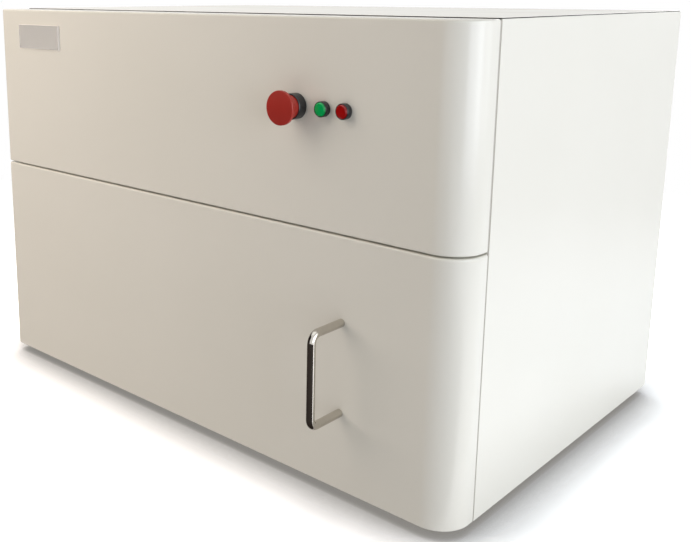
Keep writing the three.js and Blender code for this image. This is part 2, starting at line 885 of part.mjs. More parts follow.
// One push button: a bezel with its barrel, and the cap that travels in it
function addPushButton(name, x, material) {
  const bezelRadius = bezelDiameter / 2;
  const barrelRadius = buttonBarrelDiameter / 2;
  const seatRadius = capDiameter / 2 + capClearance;
  const boreRadius = stemDiameter / 2 + fitGap;
  const front = -fitGap - bezelHeight;
  const seat = front + capSeatDepth;
  addPiece(`${name}_bezel`, turned([
    [boreRadius, seat],
    [seatRadius, seat],
    [seatRadius, front],
    [bezelRadius - bezelChamfer, front],
    [bezelRadius, front + bezelChamfer],
    [bezelRadius, -fitGap],
    [barrelRadius, -fitGap],
    [barrelRadius, buttonBarrelDepth],
    [boreRadius, buttonBarrelDepth],
    [boreRadius, seat],
  ], x, controlZ, roundSides), blackPlastic());
  const capFront = front - capProud;
  addPiece(`${name}_cap`, turned([
    [0, capFront],
    [capDiameter / 2 - capChamfer, capFront],
    [capDiameter / 2, capFront + capChamfer],
    [capDiameter / 2, capFront + capThickness],
    [stemDiameter / 2, capFront + capThickness],
    [stemDiameter / 2, stemDepth],
    [0, stemDepth],
  ], x, controlZ, roundSides), material);
}

function addOpticalBench() {
  const left = -benchWidth / 2;
  const benchBack = benchFront + benchDepth;
  const slab = block([left, benchFront, benchBottom], [-left, benchBack, benchTop]);
  addPiece('optical_bench', slab, aluminium());
  const places = {
    isolator_front_left: [left + isolatorInset, benchFront + isolatorInset],
    isolator_front_right: [-left - isolatorInset, benchFront + isolatorInset],
    isolator_rear_left: [left + isolatorInset, benchBack - isolatorInset],
    isolator_rear_right: [-left - isolatorInset, benchBack - isolatorInset],
  };
  const low = baseThickness + fitGap;
  for (const [name, [x, y]] of Object.entries(places)) {
    const points = [
      [0, 0],
      [isolatorDiameter / 2, 0],
      [isolatorWaist / 2, isolatorHeight / 2],
      [isolatorDiameter / 2, isolatorHeight],
      [0, isolatorHeight],
    ].map(([radius, height]) => new THREE.Vector2(radius, height));
    const geometry = new THREE.LatheGeometry(points, roundSides);
    geometry.rotateX(quarterTurn);
    geometry.translate(x, y, low);
    addPiece(name, solid(geometry), rubber());
  }
}

function addRotaryStage() {
  const centre = [0, stageY];
  const low = benchTop + fitGap;
  const half = stageWidth / 2;
  const housing = block([-half, stageY - half, low], [half, stageY + half, stageTop]);
  const boreLow = stageTop - spindleDepth - spindleClearance;
  const bore = bar('z', stageBoreDiameter, boreLow, stageTop + cutOverrun, centre);
  addPiece('stage_body', cutBy(housing, bore), blackAnodised());
  const tableLow = stageTop + tableGap;
  const seat = tableLow + tableThickness / 2;
  const spindleDiameter = stageBoreDiameter - 2 * spindleClearance;
  const spindle = bar('z', spindleDiameter, stageTop - spindleDepth, seat, centre);
  const disc = bar('z', tableDiameter, tableLow, tableTop, centre, fineSides);
  const points = [];
  for (let i = 0; i < waferPointCount; i += 1) {
    const angle = quarterTurn + fullTurn * i / waferPointCount;
    const on = (radius) => [radius * Math.cos(angle), stageY + radius * Math.sin(angle)];
    const pinTop = tableTop + edgePinHeight;
    points.push(bar('z', restDiameter, seat, waferPlane, on(restCircleRadius), smallSides));
    points.push(bar('z', edgePinDiameter, seat, pinTop, on(edgePinCircleRadius), smallSides));
  }
  addPiece('rotary_table', joined(disc, spindle, ...points), aluminium());
}

function addGantry() {
  const low = benchTop + fitGap;
  const front = postY - postDepth / 2;
  const back = postY + postDepth / 2;
  for (const [name, x] of Object.entries({ gantry_post_left: -postX, gantry_post_right: postX })) {
    const post = block([x - postWidth / 2, front, low], [x + postWidth / 2, back, postTop]);
    addPiece(name, post, aluminium());
  }
  const beam = block([-beamHalfLength, beamFront, beamBottom],
    [beamHalfLength, beamFront + beamDepth, beamBottom + beamHeight]);
  addPiece('gantry_beam', beam, aluminium());
  const railLow = beamBottom + railLift - railHeight / 2;
  const rail = block([-railLength / 2, railFront, railLow],
    [railLength / 2, beamFront - fitGap, railLow + railHeight]);
  addPiece('scan_rail', rail, stainless());
}

function addScanDrive() {
  const axis = [screwAxisY, screwAxisZ];
  const runningDiameter = leadscrewDiameter + 2 * fitGap;
  const motorRight = -beamHalfLength - fitGap;
  const motorLeft = motorRight - motorLength;
  const half = motorWidth / 2;
  const outline = new THREE.Shape();
  const edge = half - motorCornerCut;
  outline.moveTo(edge, -half);
  outline.lineTo(half, -edge);
  outline.lineTo(half, edge);
  outline.lineTo(edge, half);
  outline.lineTo(-edge, half);
  outline.lineTo(-half, edge);
  outline.lineTo(-half, -edge);
  outline.lineTo(-edge, -half);
  outline.closePath();
  const geometry = new THREE.ExtrudeGeometry(outline, { depth: motorLength, bevelEnabled: false });
  geometry.rotateY(quarterTurn);
  geometry.translate(motorLeft, screwAxisY, screwAxisZ);
  const screwStart = motorRight - leadscrewMotorEnd;
  const screwEnd = beamHalfLength + leadscrewOverhang;
  const shaftBore = bar('x', runningDiameter, screwStart - fitGap, motorRight + cutOverrun, axis);
  addPiece('scan_motor', cutBy(solid(geometry), shaftBore), blackAnodised());
  addPiece('leadscrew', bar('x', leadscrewDiameter, screwStart, screwEnd, axis), stainless());
  const bearingLeft = beamHalfLength - bearingWidth;
  const bearingLow = screwAxisZ - bearingHeight / 2;
  const bearing = block([bearingLeft, screwAxisY - bearingFront, bearingLow],
    [beamHalfLength, beamFront - fitGap, bearingLow + bearingHeight]);
  const bearingBore = bar('x', runningDiameter, bearingLeft - cutOverrun, beamHalfLength + cutOverrun, axis);
  addPiece('bearing_block', cutBy(bearing, bearingBore), blackAnodised());
}

function addCarriage() {
  const plate = block([-carriageWidth / 2, carriageFace, beamBottom - carriageBottom],
    [carriageWidth / 2, railFront - fitGap, beamBottom + carriageTop]);
  const plateMiddle = (carriageFace + railFront) / 2;
  const nut = block([-nutBlockWidth / 2, plateMiddle, screwAxisZ - nutBlockHeight / 2],
    [nutBlockWidth / 2, beamFront - nutBlockBack, screwAxisZ + nutBlockHeight / 2]);
  const axis = [screwAxisY, screwAxisZ];
  const bore = bar('x', leadscrewDiameter + 2 * fitGap, -carriageWidth, carriageWidth, axis);
  addPiece('scan_carriage', cutBy(joined(plate, nut), bore), aluminium());
  const back = carriageFace - fitGap;
  const opticY = back - laserDepth / 2;
  const snoutLow = waferPlane + laserStandoff;
  const laserLow = snoutLow + snoutLength;
  const laserBody = block([laserOffset - laserWidth / 2, back - laserDepth, laserLow],
    [laserOffset + laserWidth / 2, back, beamBottom + laserTop]);
  const snout = bar('z', snoutDiameter, snoutLow, laserLow + fitGap, [laserOffset, opticY]);
  addPiece('laser_head', joined(laserBody, snout), blackAnodised());
  const detectorHigh = beamBottom + detectorTop;
  const detectorLow = waferPlane + detectorStandoff;
  const barrel = bar('z', detectorDiameter, detectorLow, detectorHigh, [detectorOffset, opticY]);
  const saddleHalf = detectorSaddleWidth / 2;
  const saddle = block([detectorOffset - saddleHalf, opticY, (detectorLow + detectorHigh) / 2],
    [detectorOffset + saddleHalf, back, detectorHigh - detectorSaddleInset]);
  addPiece('detector', joined(barrel, saddle), blackAnodised());
}

function addElectronics() {
  const low = shelfTop + fitGap;
  const supplyX = -halfWidth + supplyInset;
  const supplyY = caseDepth - supplyFromRear;
  const supply = block([supplyX - supplyWidth / 2, supplyY - supplyDepth / 2, low],
    [supplyX + supplyWidth / 2, supplyY + supplyDepth / 2, low + supplyHeight]);
  addPiece('power_supply', supply, zincSteel());
  const boardX = supplyX + boardFromSupply;
  const boardY = caseDepth - boardFromRear;
  const boardLow = low + standoffHeight;
  const boardTop = boardLow + boardThickness;
  const left = boardX - boardWidth / 2;
  const front = boardY - boardDepth / 2;
  const parts = [block([left, front, boardLow], [left + boardWidth, front + boardDepth, boardTop])];
  const seat = boardLow + boardThickness / 2;
  for (const x of [left + standoffInset, left + boardWidth - standoffInset]) {
    for (const y of [front + standoffInset, front + boardDepth - standoffInset]) {
      parts.push(bar('z', standoffDiameter, low, seat, [x, y], smallSides));
    }
  }
  const chipRight = boardX - chipWidth;
  parts.push(block([chipRight - chipWidth, boardY, seat],
    [chipRight, boardY + chipWidth, boardTop + chipHeight]));
  const sinkLeft = boardX + chipWidth / 2;
  const sinkBase = boardTop + heatSinkHeight * heatSinkBaseShare;
  const sinkTop = boardTop + heatSinkHeight;
  const finPitch = heatSinkWidth / heatSinkFinCount;
  const fin = finPitch * finThicknessShare;
  const comb = new THREE.Shape();
  comb.moveTo(sinkLeft, seat);
  comb.lineTo(sinkLeft + (heatSinkFinCount - 1) * finPitch + fin, seat);
  for (let i = heatSinkFinCount - 1; i >= 0; i -= 1) {
    const finLeft = sinkLeft + i * finPitch;
    comb.lineTo(finLeft + fin, sinkTop);
    comb.lineTo(finLeft, sinkTop);
    if (i > 0) {
      comb.lineTo(finLeft, sinkBase);
      comb.lineTo(finLeft - finPitch + fin, sinkBase);
    }
  }
  comb.closePath();
  parts.push(runBack(comb, boardY - heatSinkWidth / 2, boardY + heatSinkWidth / 2));
  const connectorFront = front + boardDepth - 2 * connectorDepth;
  for (const middle of [boardX - connectorLength, boardX + connectorLength]) {
    const connectorLeft = middle - connectorLength / 2;
    parts.push(block([connectorLeft, connectorFront, seat],
      [connectorLeft + connectorLength, connectorFront + connectorDepth, boardTop + connectorHeight]));
  }
  addPiece('control_board', joined(...parts), circuitBoard());
}

function addFan() {
  const back = rearInside;
  const front = back - fanDepth;
  const half = fanSize / 2;
  const centre = [fanX, fanZ];
  const frame = block([fanX - half, front, fanZ - half], [fanX + half, back, fanZ + half]);
  const tunnel = bar('y', fanBoreDiameter, front - cutOverrun, back + cutOverrun, centre, fineSides);
  const stator = bar('y', fanStatorDiameter, front, front + fanStatorLength, centre);
  const strutFront = front + (fanStatorLength - fanStrutDepth) / 2;
  const strutBack = strutFront + fanStrutDepth;
  const reach = (fanBoreDiameter / 2 + half) / 2;
  const side = fanStrutWidth / 2;
  const struts = [
    block([fanX - reach, strutFront, fanZ - side], [fanX + reach, strutBack, fanZ + side]),
    block([fanX - side, strutFront, fanZ - reach], [fanX + side, strutBack, fanZ + reach]),
  ];
  addPiece('fan_frame', joined(cutBy(frame, tunnel), stator, ...struts), blackPlastic());
  const hubFront = front + fanStatorLength + fitGap;
  const hubBack = hubFront + fanHubLength;
  const hubMiddle = (hubFront + hubBack) / 2;
  const parts = [bar('y', fanHubDiameter, hubFront, hubBack, centre)];
  const bladeReach = fanRotorDiameter / 2;
  for (let i = 0; i < fanBladeCount; i += 1) {
    const geometry = new THREE.BoxGeometry(bladeReach, fanBladeLength, fanBladeThickness);
    geometry.rotateX(fanBladePitch);
    geometry.translate(bladeReach / 2, 0, 0);
    geometry.rotateY(fullTurn * i / fanBladeCount);
    geometry.translate(fanX, hubMiddle, fanZ);
    parts.push(solid(geometry));
  }
  const envelope = bar('y', fanRotorDiameter, hubFront - cutOverrun, hubBack + cutOverrun, centre, fineSides);
  addPiece('fan_rotor', joined(...parts).intersect(envelope), blackPlastic());
}

function addFanGuard() {
  const parts = [];
  const ring = (inner, outer) => {
    const shape = new THREE.Shape();
    shape.absarc(fanX, fanZ, outer, 0, fullTurn, false);
    const hole = new THREE.Path();
    hole.absarc(fanX, fanZ, inner, 0, fullTurn, true);
    shape.holes.push(hole);
    return runBack(shape, rearFace, rearFace + guardThickness, 2 * guardArcSegments);
  };
  for (let i = 0; i < guardRingCount; i += 1) {
    const inner = guardHubRadius + i * (guardWireWidth + guardGap);
    parts.push(ring(inner, inner + guardWireWidth));
  }
  const reach = fanSize / 2;
  for (const turn of [1, -1]) {
    const geometry = new THREE.BoxGeometry(2 * reach * Math.SQRT2, guardBarThickness, guardWireWidth);
    geometry.rotateY(turn * quarterTurn / 2);
    geometry.translate(fanX, rearFace + guardThickness / 2, fanZ);
    parts.push(solid(geometry));
  }
  addPiece('fan_guard', joined(...parts), stainless());
}

function addPowerInlet() {
  const halfX = inletWidth / 2;
  const halfZ = inletHeight / 2;
  const back = rearFace + inletFlange;
  const bodyX = halfX - inletBodyMargin;
  const bodyZ = halfZ - inletBodyMargin;
  const flange = block([inletX - halfX, rearFace, inletZ - halfZ], [inletX + halfX, back, inletZ + halfZ]);
  const body = block([inletX - bodyX, back - inletBodyDepth, inletZ - bodyZ],
    [inletX + bodyX, (rearFace + back) / 2, inletZ + bodyZ]);
  const socketZ = inletZ - socketDrop;
  const socket = block([inletX - socketWidth / 2, back - socketDepth, socketZ - socketHeight / 2],
    [inletX + socketWidth / 2, back + cutOverrun, socketZ + socketHeight / 2]);
  const pinFront = back - (socketDepth + inletBodyDepth) / 2;
  const pinBack = back - socketDepth + socketPinLength;
  const pins = [-1, 0, 1].map((side) => {
    const x = inletX + side * socketPinPitch;
    const lift = side === 0 ? pinOffsetShare : -pinOffsetShare;
    const z = socketZ + lift * socketPinHeight;
    return block([x - socketPinWidth / 2, pinFront, z - socketPinHeight / 2],
      [x + socketPinWidth / 2, pinBack, z + socketPinHeight / 2]);
  });
  const rockerZ = inletZ + rockerLift;
  const wellX = rockerLength / 2 + rockerEndClearance;
  const wellZ = rockerWidth / 2 + rockerClearance;
  const well = block([inletX - wellX, back - rockerDepth, rockerZ - wellZ],
    [inletX + wellX, back + cutOverrun, rockerZ + wellZ]);
  const housing = cutBy(joined(flange, body), socket, well);
  addPiece('power_inlet', joined(housing, ...pins), blackPlastic());
  const half = rockerLength / 2;
  const crest = rockerThickness / 2;
  const outline = new THREE.Shape();
  outline.moveTo(-half, -crest);
  outline.lineTo(half, -crest);
  outline.lineTo(half, crest);
  outline.lineTo(0, crest - rockerDip);
  outline.lineTo(-half, crest);
  outline.closePath();
  const geometry = new THREE.ExtrudeGeometry(outline, { depth: rockerWidth, bevelEnabled: false });
  geometry.translate(0, 0, -rockerWidth / 2);
  geometry.rotateZ(rockerRestAngle);
  geometry.translate(inletX, rockerY, rockerZ);
  addPiece('rocker_switch', solid(geometry), blackPlastic());
}

function addDataPort() {
  const halfX = portWidth / 2;
  const halfZ = portHeight / 2;
  const back = rearFace + portFlange;
  const bodyX = halfX - portMargin;
  const bodyZ = halfZ - portMargin;
  const flange = block([portX - halfX, rearFace, portZ - halfZ], [portX + halfX, back, portZ + halfZ]);
  const body = block([portX - bodyX, back - portBodyDepth, portZ - bodyZ],
    [portX + bodyX, (rearFace + back) / 2, portZ + bodyZ]);
  const socket = block([portX - portSocketWidth / 2, back - portSocketDepth, portZ - portSocketHeight / 2],
    [portX + portSocketWidth / 2, back + cutOverrun, portZ + portSocketHeight / 2]);
  addPiece('data_port', cutBy(joined(flange, body), socket), zincSteel());
}

addBasePlate();
addMiddleShelf();
addTopPanel();
addSidePanels();
addRearPanel();
addFrontFrame();
addUpperFrontPanel();
addFeet();
addNameplate();
addDoorPanel();
addLinerAndGasket();
addHandle();
addHinge('lower', hingeLowerRise);
addHinge('upper', doorHeight - hingeUpperDrop);
addLatch();
addStopButton();
addPushButton('start', startX, greenPlastic());
addPushButton('stop', stopX, redPlastic());
addOpticalBench();
addRotaryStage();
addGantry();
addScanDrive();
addCarriage();
addElectronics();
addFan();
addFanGuard();
addPowerInlet();
addDataPort();

export default instrument;
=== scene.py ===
# %% [markdown]
# This lesson dresses a bench-top tester that measures the stress in thin films. The construction comes
# first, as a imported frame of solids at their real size, and every visible surface is then made around it.
# Working round a fixed frame keeps each joint, gap and size true while the looks are improved.

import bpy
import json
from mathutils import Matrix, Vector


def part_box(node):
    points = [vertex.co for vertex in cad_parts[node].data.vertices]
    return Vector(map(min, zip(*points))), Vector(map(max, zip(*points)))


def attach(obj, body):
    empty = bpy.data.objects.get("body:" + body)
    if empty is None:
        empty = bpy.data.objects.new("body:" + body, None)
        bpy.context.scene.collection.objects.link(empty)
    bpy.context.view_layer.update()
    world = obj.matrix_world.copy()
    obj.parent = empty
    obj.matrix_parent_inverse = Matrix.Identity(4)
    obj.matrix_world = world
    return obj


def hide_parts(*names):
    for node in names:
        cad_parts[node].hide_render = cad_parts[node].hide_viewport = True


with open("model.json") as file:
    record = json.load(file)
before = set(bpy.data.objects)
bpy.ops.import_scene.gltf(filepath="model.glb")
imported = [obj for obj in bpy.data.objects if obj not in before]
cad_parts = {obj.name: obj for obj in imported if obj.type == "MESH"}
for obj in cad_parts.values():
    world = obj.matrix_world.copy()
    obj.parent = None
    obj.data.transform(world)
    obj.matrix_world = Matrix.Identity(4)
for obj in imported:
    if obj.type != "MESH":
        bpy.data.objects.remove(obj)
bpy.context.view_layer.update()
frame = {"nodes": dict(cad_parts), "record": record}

# %% [markdown]
# A part like this is thought of in millimetres, and Blender works in metres, so one factor turns a size
# on a drawing into a size in the scene. Angles are named too, because quarter turns come up in every bend.

# %% Units and angles
import json
import math
from itertools import product

import bmesh
import bpy
from mathutils import Matrix, Vector

MM = 0.001
FULL_TURN = math.pi * 2
QUARTER_TURN = FULL_TURN / 4
SIXTH_TURN = FULL_TURN / 6
scene = bpy.context.scene

# %% [markdown]
# The photograph was cropped, so its optical centre doesn't lie in the middle of the picture. A camera with
# a shift shows the same thing as the crop does. Its place is measured from the lower front edge of the
# case, at the middle of its width, and the focal length from how fast the upright edges close in.

# %% Camera at the photographer's place
PICTURE = (691, 542)
OPTICAL_CENTRE = (240, 185)
FOCAL_PIXELS = 914.5
SENSOR_WIDTH = 36.0
CAMERA_FROM_CASE = Vector((875.1, -802.3, 584.9)) * MM
CAMERA_YAW = math.radians(43.841)
CAMERA_PITCH = math.radians(11.895)

case_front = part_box("door_panel")[0].y
case_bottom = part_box("door_panel")[0].z
looking = Vector((
    -math.sin(CAMERA_YAW) * math.cos(CAMERA_PITCH),
    math.cos(CAMERA_YAW) * math.cos(CAMERA_PITCH),
    -math.sin(CAMERA_PITCH),
))
camera = bpy.data.objects.new("camera", bpy.data.cameras.new("camera"))
scene.collection.objects.link(camera)
camera.location = Vector((0, case_front, case_bottom)) + CAMERA_FROM_CASE
camera.rotation_mode = "QUATERNION"
camera.rotation_quaternion = looking.to_track_quat("-Z", "Y")
camera.data.sensor_width = SENSOR_WIDTH
camera.data.lens = SENSOR_WIDTH * FOCAL_PIXELS / PICTURE[0]
camera.data.shift_x = (PICTURE[0] / 2 - OPTICAL_CENTRE[0]) / PICTURE[0]
camera.data.shift_y = (OPTICAL_CENTRE[1] - PICTURE[1] / 2) / PICTURE[0]
scene.camera = camera
print("lens %.1f mm, shift %.3f %.3f" % (camera.data.lens, camera.data.shift_x, camera.data.shift_y))

# %% [markdown]
# Every finish is a small net of nodes, so two helpers come first. One turns a colour picked in sRGB into
# the linear light that a shader works in. The other adds any node, with its settings and what feeds it.

# %% Colour and node helpers
def linear(code):
    """An sRGB hex code as linear red, green, blue and alpha."""
    channels = [int(code[i:i + 2], 16) / 255 for i in (1, 3, 5)]
    return [c / 12.92 if c <= 0.04045 else ((c + 0.055) / 1.055) ** 2.4 for c in channels] + [1.0]


def add(tree, kind, inputs=None, **settings):
    """A node of that kind with its settings, each input set to a value or linked to an output."""
    made = tree.nodes.new(kind)
    for name, value in settings.items():
        setattr(made, name, value)
    for key, value in (inputs or {}).items():
        if isinstance(value, bpy.types.NodeSocket):
            tree.links.new(value, made.inputs[key])
        else:
            made.inputs[key].default_value = value
    return made


# %% [markdown]
# Real finishes are never one flat value: paint has orange peel, plating has spangle and milled metal has
# the marks of its tool. Each is a pattern with a size in millimetres, which then tints the colour, changes
# the roughness or raises the surface. Brushed marks are the same pattern drawn out along one axis.

# %% Patterns and a finish that wears them
def grain(size_mm, stretch=(1, 1, 1)):
    """Soft mottling of that size, drawn out along an axis where stretch is over 1."""
    def laid(tree):
        place = add(tree, "ShaderNodeTexCoord").outputs["Object"]
        drawn = add(tree, "ShaderNodeMapping", {"Vector": place, "Scale": [1 / s for s in stretch]})
        marks = {"Vector": drawn.outputs[0], "Scale": 1 / (size_mm * MM)}
        return add(tree, "ShaderNodeTexNoise", marks).outputs[0]
    return laid


def cells(size_mm):
    """Patches of that size with straight borders, each of one value, as in the spangle of zinc."""
    def laid(tree):
        place = add(tree, "ShaderNodeTexCoord").outputs["Object"]
        found = add(tree, "ShaderNodeTexVoronoi", {"Vector": place, "Scale": 1 / (size_mm * MM)})
        return add(tree, "ShaderNodeSeparateColor", {"Color": found.outputs["Color"]}).outputs[0]
    return laid


def new_finish(name, colour, roughness, tint, wear=None, relief=None, **sockets):
    """A material whose patterns drift its colour, its roughness and the height of its surface.

    tint is (other colour, pattern), wear is (smooth, rough, pattern) and relief is (height in mm, pattern).
    """
    made = bpy.data.materials.new(name)
    made.use_nodes = True
    tree = made.node_tree
    shader = tree.nodes["Principled BSDF"]
    for key, value in {"Base Color": linear(colour), "Roughness": roughness, **sockets}.items():
        shader.inputs[key].default_value = value
    other, pattern = tint
    colours = {0: pattern(tree), 6: linear(colour), 7: linear(other)}
    mixed = add(tree, "ShaderNodeMix", colours, data_type="RGBA")
    tree.links.new(mixed.outputs[2], shader.inputs["Base Color"])
    if wear:
        smooth, rough, pattern = wear
        polish = add(tree, "ShaderNodeMapRange", {"Value": pattern(tree), "To Min": smooth, "To Max": rough})
        tree.links.new(polish.outputs[0], shader.inputs["Roughness"])
    if relief:
        height, pattern = relief
        bump = add(tree, "ShaderNodeBump", {"Height": pattern(tree), "Distance": height * MM})
        tree.links.new(bump.outputs[0], shader.inputs["Normal"])
    print("finish", name)
    return made


# %% [markdown]
# The case is folded steel sprayed with polyester powder and baked. It dries semi-gloss, with a slight orange
# peel whose waves are about 4 mm across. The waves are very low: they only soften the reflections.

# %% Powder coat on folded steel
powder_coat = new_finish("powder_coated_steel", "#EBE9DF", 0.2, ("#E7E5DA", grain(220)),
                         (0.18, 0.24, grain(60)), (0.003, grain(4)), IOR=1.5)

# %% [markdown]
# Inner sheet parts are zinc plated, which leaves a dull blue-grey metal with faint patches of crystal.
# The handle, rail and screw are polished stainless steel: nearly a mirror, with hair lines left by the
# wheel. Real hair lines are finer than a pixel, so they are drawn here about 2 mm apart and very low.

# %% Zinc plate and polished stainless steel
zinc_plate = new_finish("zinc_plated_steel", "#B9BDC0", 0.42, ("#A6ABAF", cells(7)), (0.34, 0.5, cells(7)),
                        (0.01, grain(2)), Metallic=1.0)
stainless = new_finish("polished_stainless_steel", "#CCC7BF", 0.09, ("#C1BCB4", grain(6)),
                       (0.07, 0.11, grain(2.4, (1, 1, 12))), (0.0006, grain(1.6, (1, 1, 20))), Metallic=1.0)

# %% [markdown]
# The optics stand on aluminium. The bench and gantry are fine milled, so their marks run one way. Real
# ones lie a tenth of a millimetre apart and are drawn at 0.7 mm, so that they show. Optical housings are
# bead blasted and anodised black, which drinks stray light.

# %% Milled and anodised aluminium
milled_aluminium = new_finish("milled_aluminium", "#C9CCD0", 0.36, ("#BFC2C6", grain(30)),
                              (0.28, 0.44, grain(0.9, (25, 1, 1))), (0.006, grain(0.7, (40, 1, 1))),
                              Metallic=1.0)
black_anodised = new_finish("black_anodised_aluminium", "#26272A", 0.42, ("#2E2F33", grain(40)),
                            (0.36, 0.5, grain(6)), (0.01, grain(0.8)), Metallic=0.85)

# %% [markdown]
# Feet, isolators and the door seal are moulded rubber, which is nearly black and scatters light widely.
# Collars, bezels and sockets are moulded plastic, whose skin copies a spark-eroded mould. Its real grain
# is finer than a tenth of a millimetre and is drawn at 0.6 mm, so that the faces don't look like glass.

# %% Moulded rubber and black plastic
moulded_rubber = new_finish("moulded_rubber", "#1B1B1C", 0.8, ("#242425", grain(12)), (0.7, 0.88, grain(4)),
                            (0.02, grain(1.0)), IOR=1.52)
black_plastic = new_finish("spark_textured_black_plastic", "#1D1E20", 0.36, ("#232426", grain(8)),
                           (0.3, 0.42, grain(3)), (0.008, grain(0.6)), IOR=1.53)

# %% [markdown]
# The stop mushroom is solid red plastic with a satin face. The two caps are translucent polycarbonate over
# a lamp: light enters them a little way, and their polished faces shine more than the mushroom's.

# %% Red and green moulded plastic
red_plastic = new_finish("satin_red_plastic", "#AD2C22", 0.32, ("#A42A20", grain(14)), (0.28, 0.38, grain(3)),
                         (0.006, grain(0.7)), IOR=1.53)
LIGHT_ENTERS = {"Subsurface Weight": 0.25, "Subsurface Radius": (2 * MM, 2 * MM, 2 * MM)}
green_lens = new_finish("green_polycarbonate_lens", "#01B45B", 0.12, ("#01A755", grain(7)),
                        (0.09, 0.18, grain(2.5)), IOR=1.58, **LIGHT_ENTERS)
red_lens = new_finish("red_polycarbonate_lens", "#A80D0B", 0.12, ("#9A0B0A", grain(7)),
                      (0.09, 0.18, grain(2.5)), IOR=1.58, **LIGHT_ENTERS)

# %% [markdown]
# The nameplate is a bare block of clear acrylic over a pale film. Acrylic bends light by 1.49. Its sawn
# edges are frosted, so they gather light and show as bright lines. The film has a faint paper tooth.

# %% Clear acrylic and the film behind it
clear_acrylic = new_finish("polished_clear_acrylic", "#FBFAFC", 0.04, ("#F2F1F6", grain(20)),
                           (0.02, 0.08, grain(9)), IOR=1.49, **{"Transmission Weight": 0.92})
sawn_acrylic = new_finish("sawn_acrylic_edge", "#F4F1EC", 0.45, ("#ECE9E4", grain(3)), None,
                          (0.01, grain(0.8)), IOR=1.49)
backing_film = new_finish("pale_backing_film", "#DEDFD3", 0.55, ("#D8D9CD", grain(10)), (0.5, 0.62, grain(2)),
                          (0.01, grain(0.8)), IOR=1.5)

# %% [markdown]
# A dull grey strip lies in the upright seam of the side and is a little uneven. It is painted shade: its
# colour darkens the shallow groove, which turns the seam into a soft grey line.

# %% Grey strip of painted seam shade
seam_shade_grey = new_finish("seam_shade_grey", "#B4AFA6", 0.6, ("#AAA59C", grain(12)), (0.52, 0.68, grain(4)),
                          (0.03, grain(5)))

# %% [markdown]
# A few finishes appear only in small places: green solder resist over glass laminate, the black epoxy of
# chips, natural nylon, nickel plate on contacts, bright white marking paint, the glass of a lens with its
# blue and violet coating, and a tan plastic made to rub on.

# %% Finishes of the small parts
solder_resist = new_finish("green_solder_resist", "#1E5E3E", 0.35, ("#2A6F49", cells(5)), None,
                           (0.03, cells(5)), IOR=1.5)
chip_epoxy = new_finish("black_epoxy", "#1F2022", 0.55, ("#27282A", grain(3)), None,
                        (0.01, grain(0.7)), IOR=1.55)
natural_nylon = new_finish("natural_nylon", "#DCD7C6", 0.5, ("#D2CCB8", grain(5)), IOR=1.53)
nickel_plate = new_finish("nickel_plate", "#C9C4B9", 0.22, ("#BDB8AD", grain(2)), (0.16, 0.3, grain(1)),
                          Metallic=1.0)
marking_white = new_finish("white_marking_paint", "#E8E8E4", 0.5, ("#DCDCD8", grain(2)), IOR=1.5)
lens_glass = new_finish("coated_lens_glass", "#35507A", 0.03, ("#4A3A78", grain(6)), IOR=1.52)
wear_plastic = new_finish("tan_wear_plastic", "#B99A6B", 0.45, ("#AD8E60", grain(3)), IOR=1.6)

# %% [markdown]
# A solid from the frame has the right shape, but its edges are mathematically sharp, and no real edge is.
# Four modifiers finish it without touching its mesh. The first two join the triangles into whole faces,
# the third rounds the sharp edges, and the last weights the normals, so that flat faces stay flat beside
# the rounding.

# %% Dress a solid of the frame
SMOOTH_ANGLE = math.radians(34)
SHARP_ANGLE = math.radians(40)
SHEET_EDGE = 0.5


def weigh_normals(piece):
    """Large flat faces set the normals beside their rounded edges."""
    weighted = piece.modifiers.new("weighted_normals", "WEIGHTED_NORMAL")
    weighted.keep_sharp = True
    weighted.weight = 100


def round_edges(piece, edge_mm):
    """Rounds every edge of a piece where its faces turn sharply."""
    rounding = piece.modifiers.new("edges_rounded", "BEVEL")
    rounding.width = edge_mm * MM
    rounding.segments = 2
    rounding.limit_method = "ANGLE"
    rounding.angle_limit = SHARP_ANGLE


def dress(node, finish, edge_mm):
    """Gives a solid of the frame its finish and rounds its edges."""
    piece = frame["nodes"][node]
    piece.data.materials.clear()
    piece.data.materials.append(finish)
    piece.modifiers.new("corners_joined", "WELD").merge_threshold = 0.002 * MM
    flat = piece.modifiers.new("faces_joined", "DECIMATE")
    flat.decimate_type = "DISSOLVE"
    flat.angle_limit = math.radians(0.5)
    round_edges(piece, edge_mm)
    weigh_normals(piece)


SLOT_FINISHES = {
    "cream_paint": powder_coat,
    "zinc_steel": zinc_plate,
    "polished_stainless": stainless,
    "aluminium": milled_aluminium,
    "black_anodised": black_anodised,
    "black_rubber": moulded_rubber,
    "black_plastic": black_plastic,
    "red_plastic": red_plastic,
    "green_plastic": green_lens,
    "clear_acrylic": clear_acrylic,
    "circuit_board": solder_resist,
}
for row in frame["record"]["subparts"]:
    dress(row["node"], SLOT_FINISHES[row["material_slot"]], SHEET_EDGE)

# %% [markdown]
# Pieces that need finer shapes than the frame has are modelled here. They are small meshes made in code,
# so a handful of shop tools is enough. The first ones draw an outline with rounded corners, join rows of
# points with faces, and turn a profile on a lathe. Profiles are written in millimetres, as on a drawing.

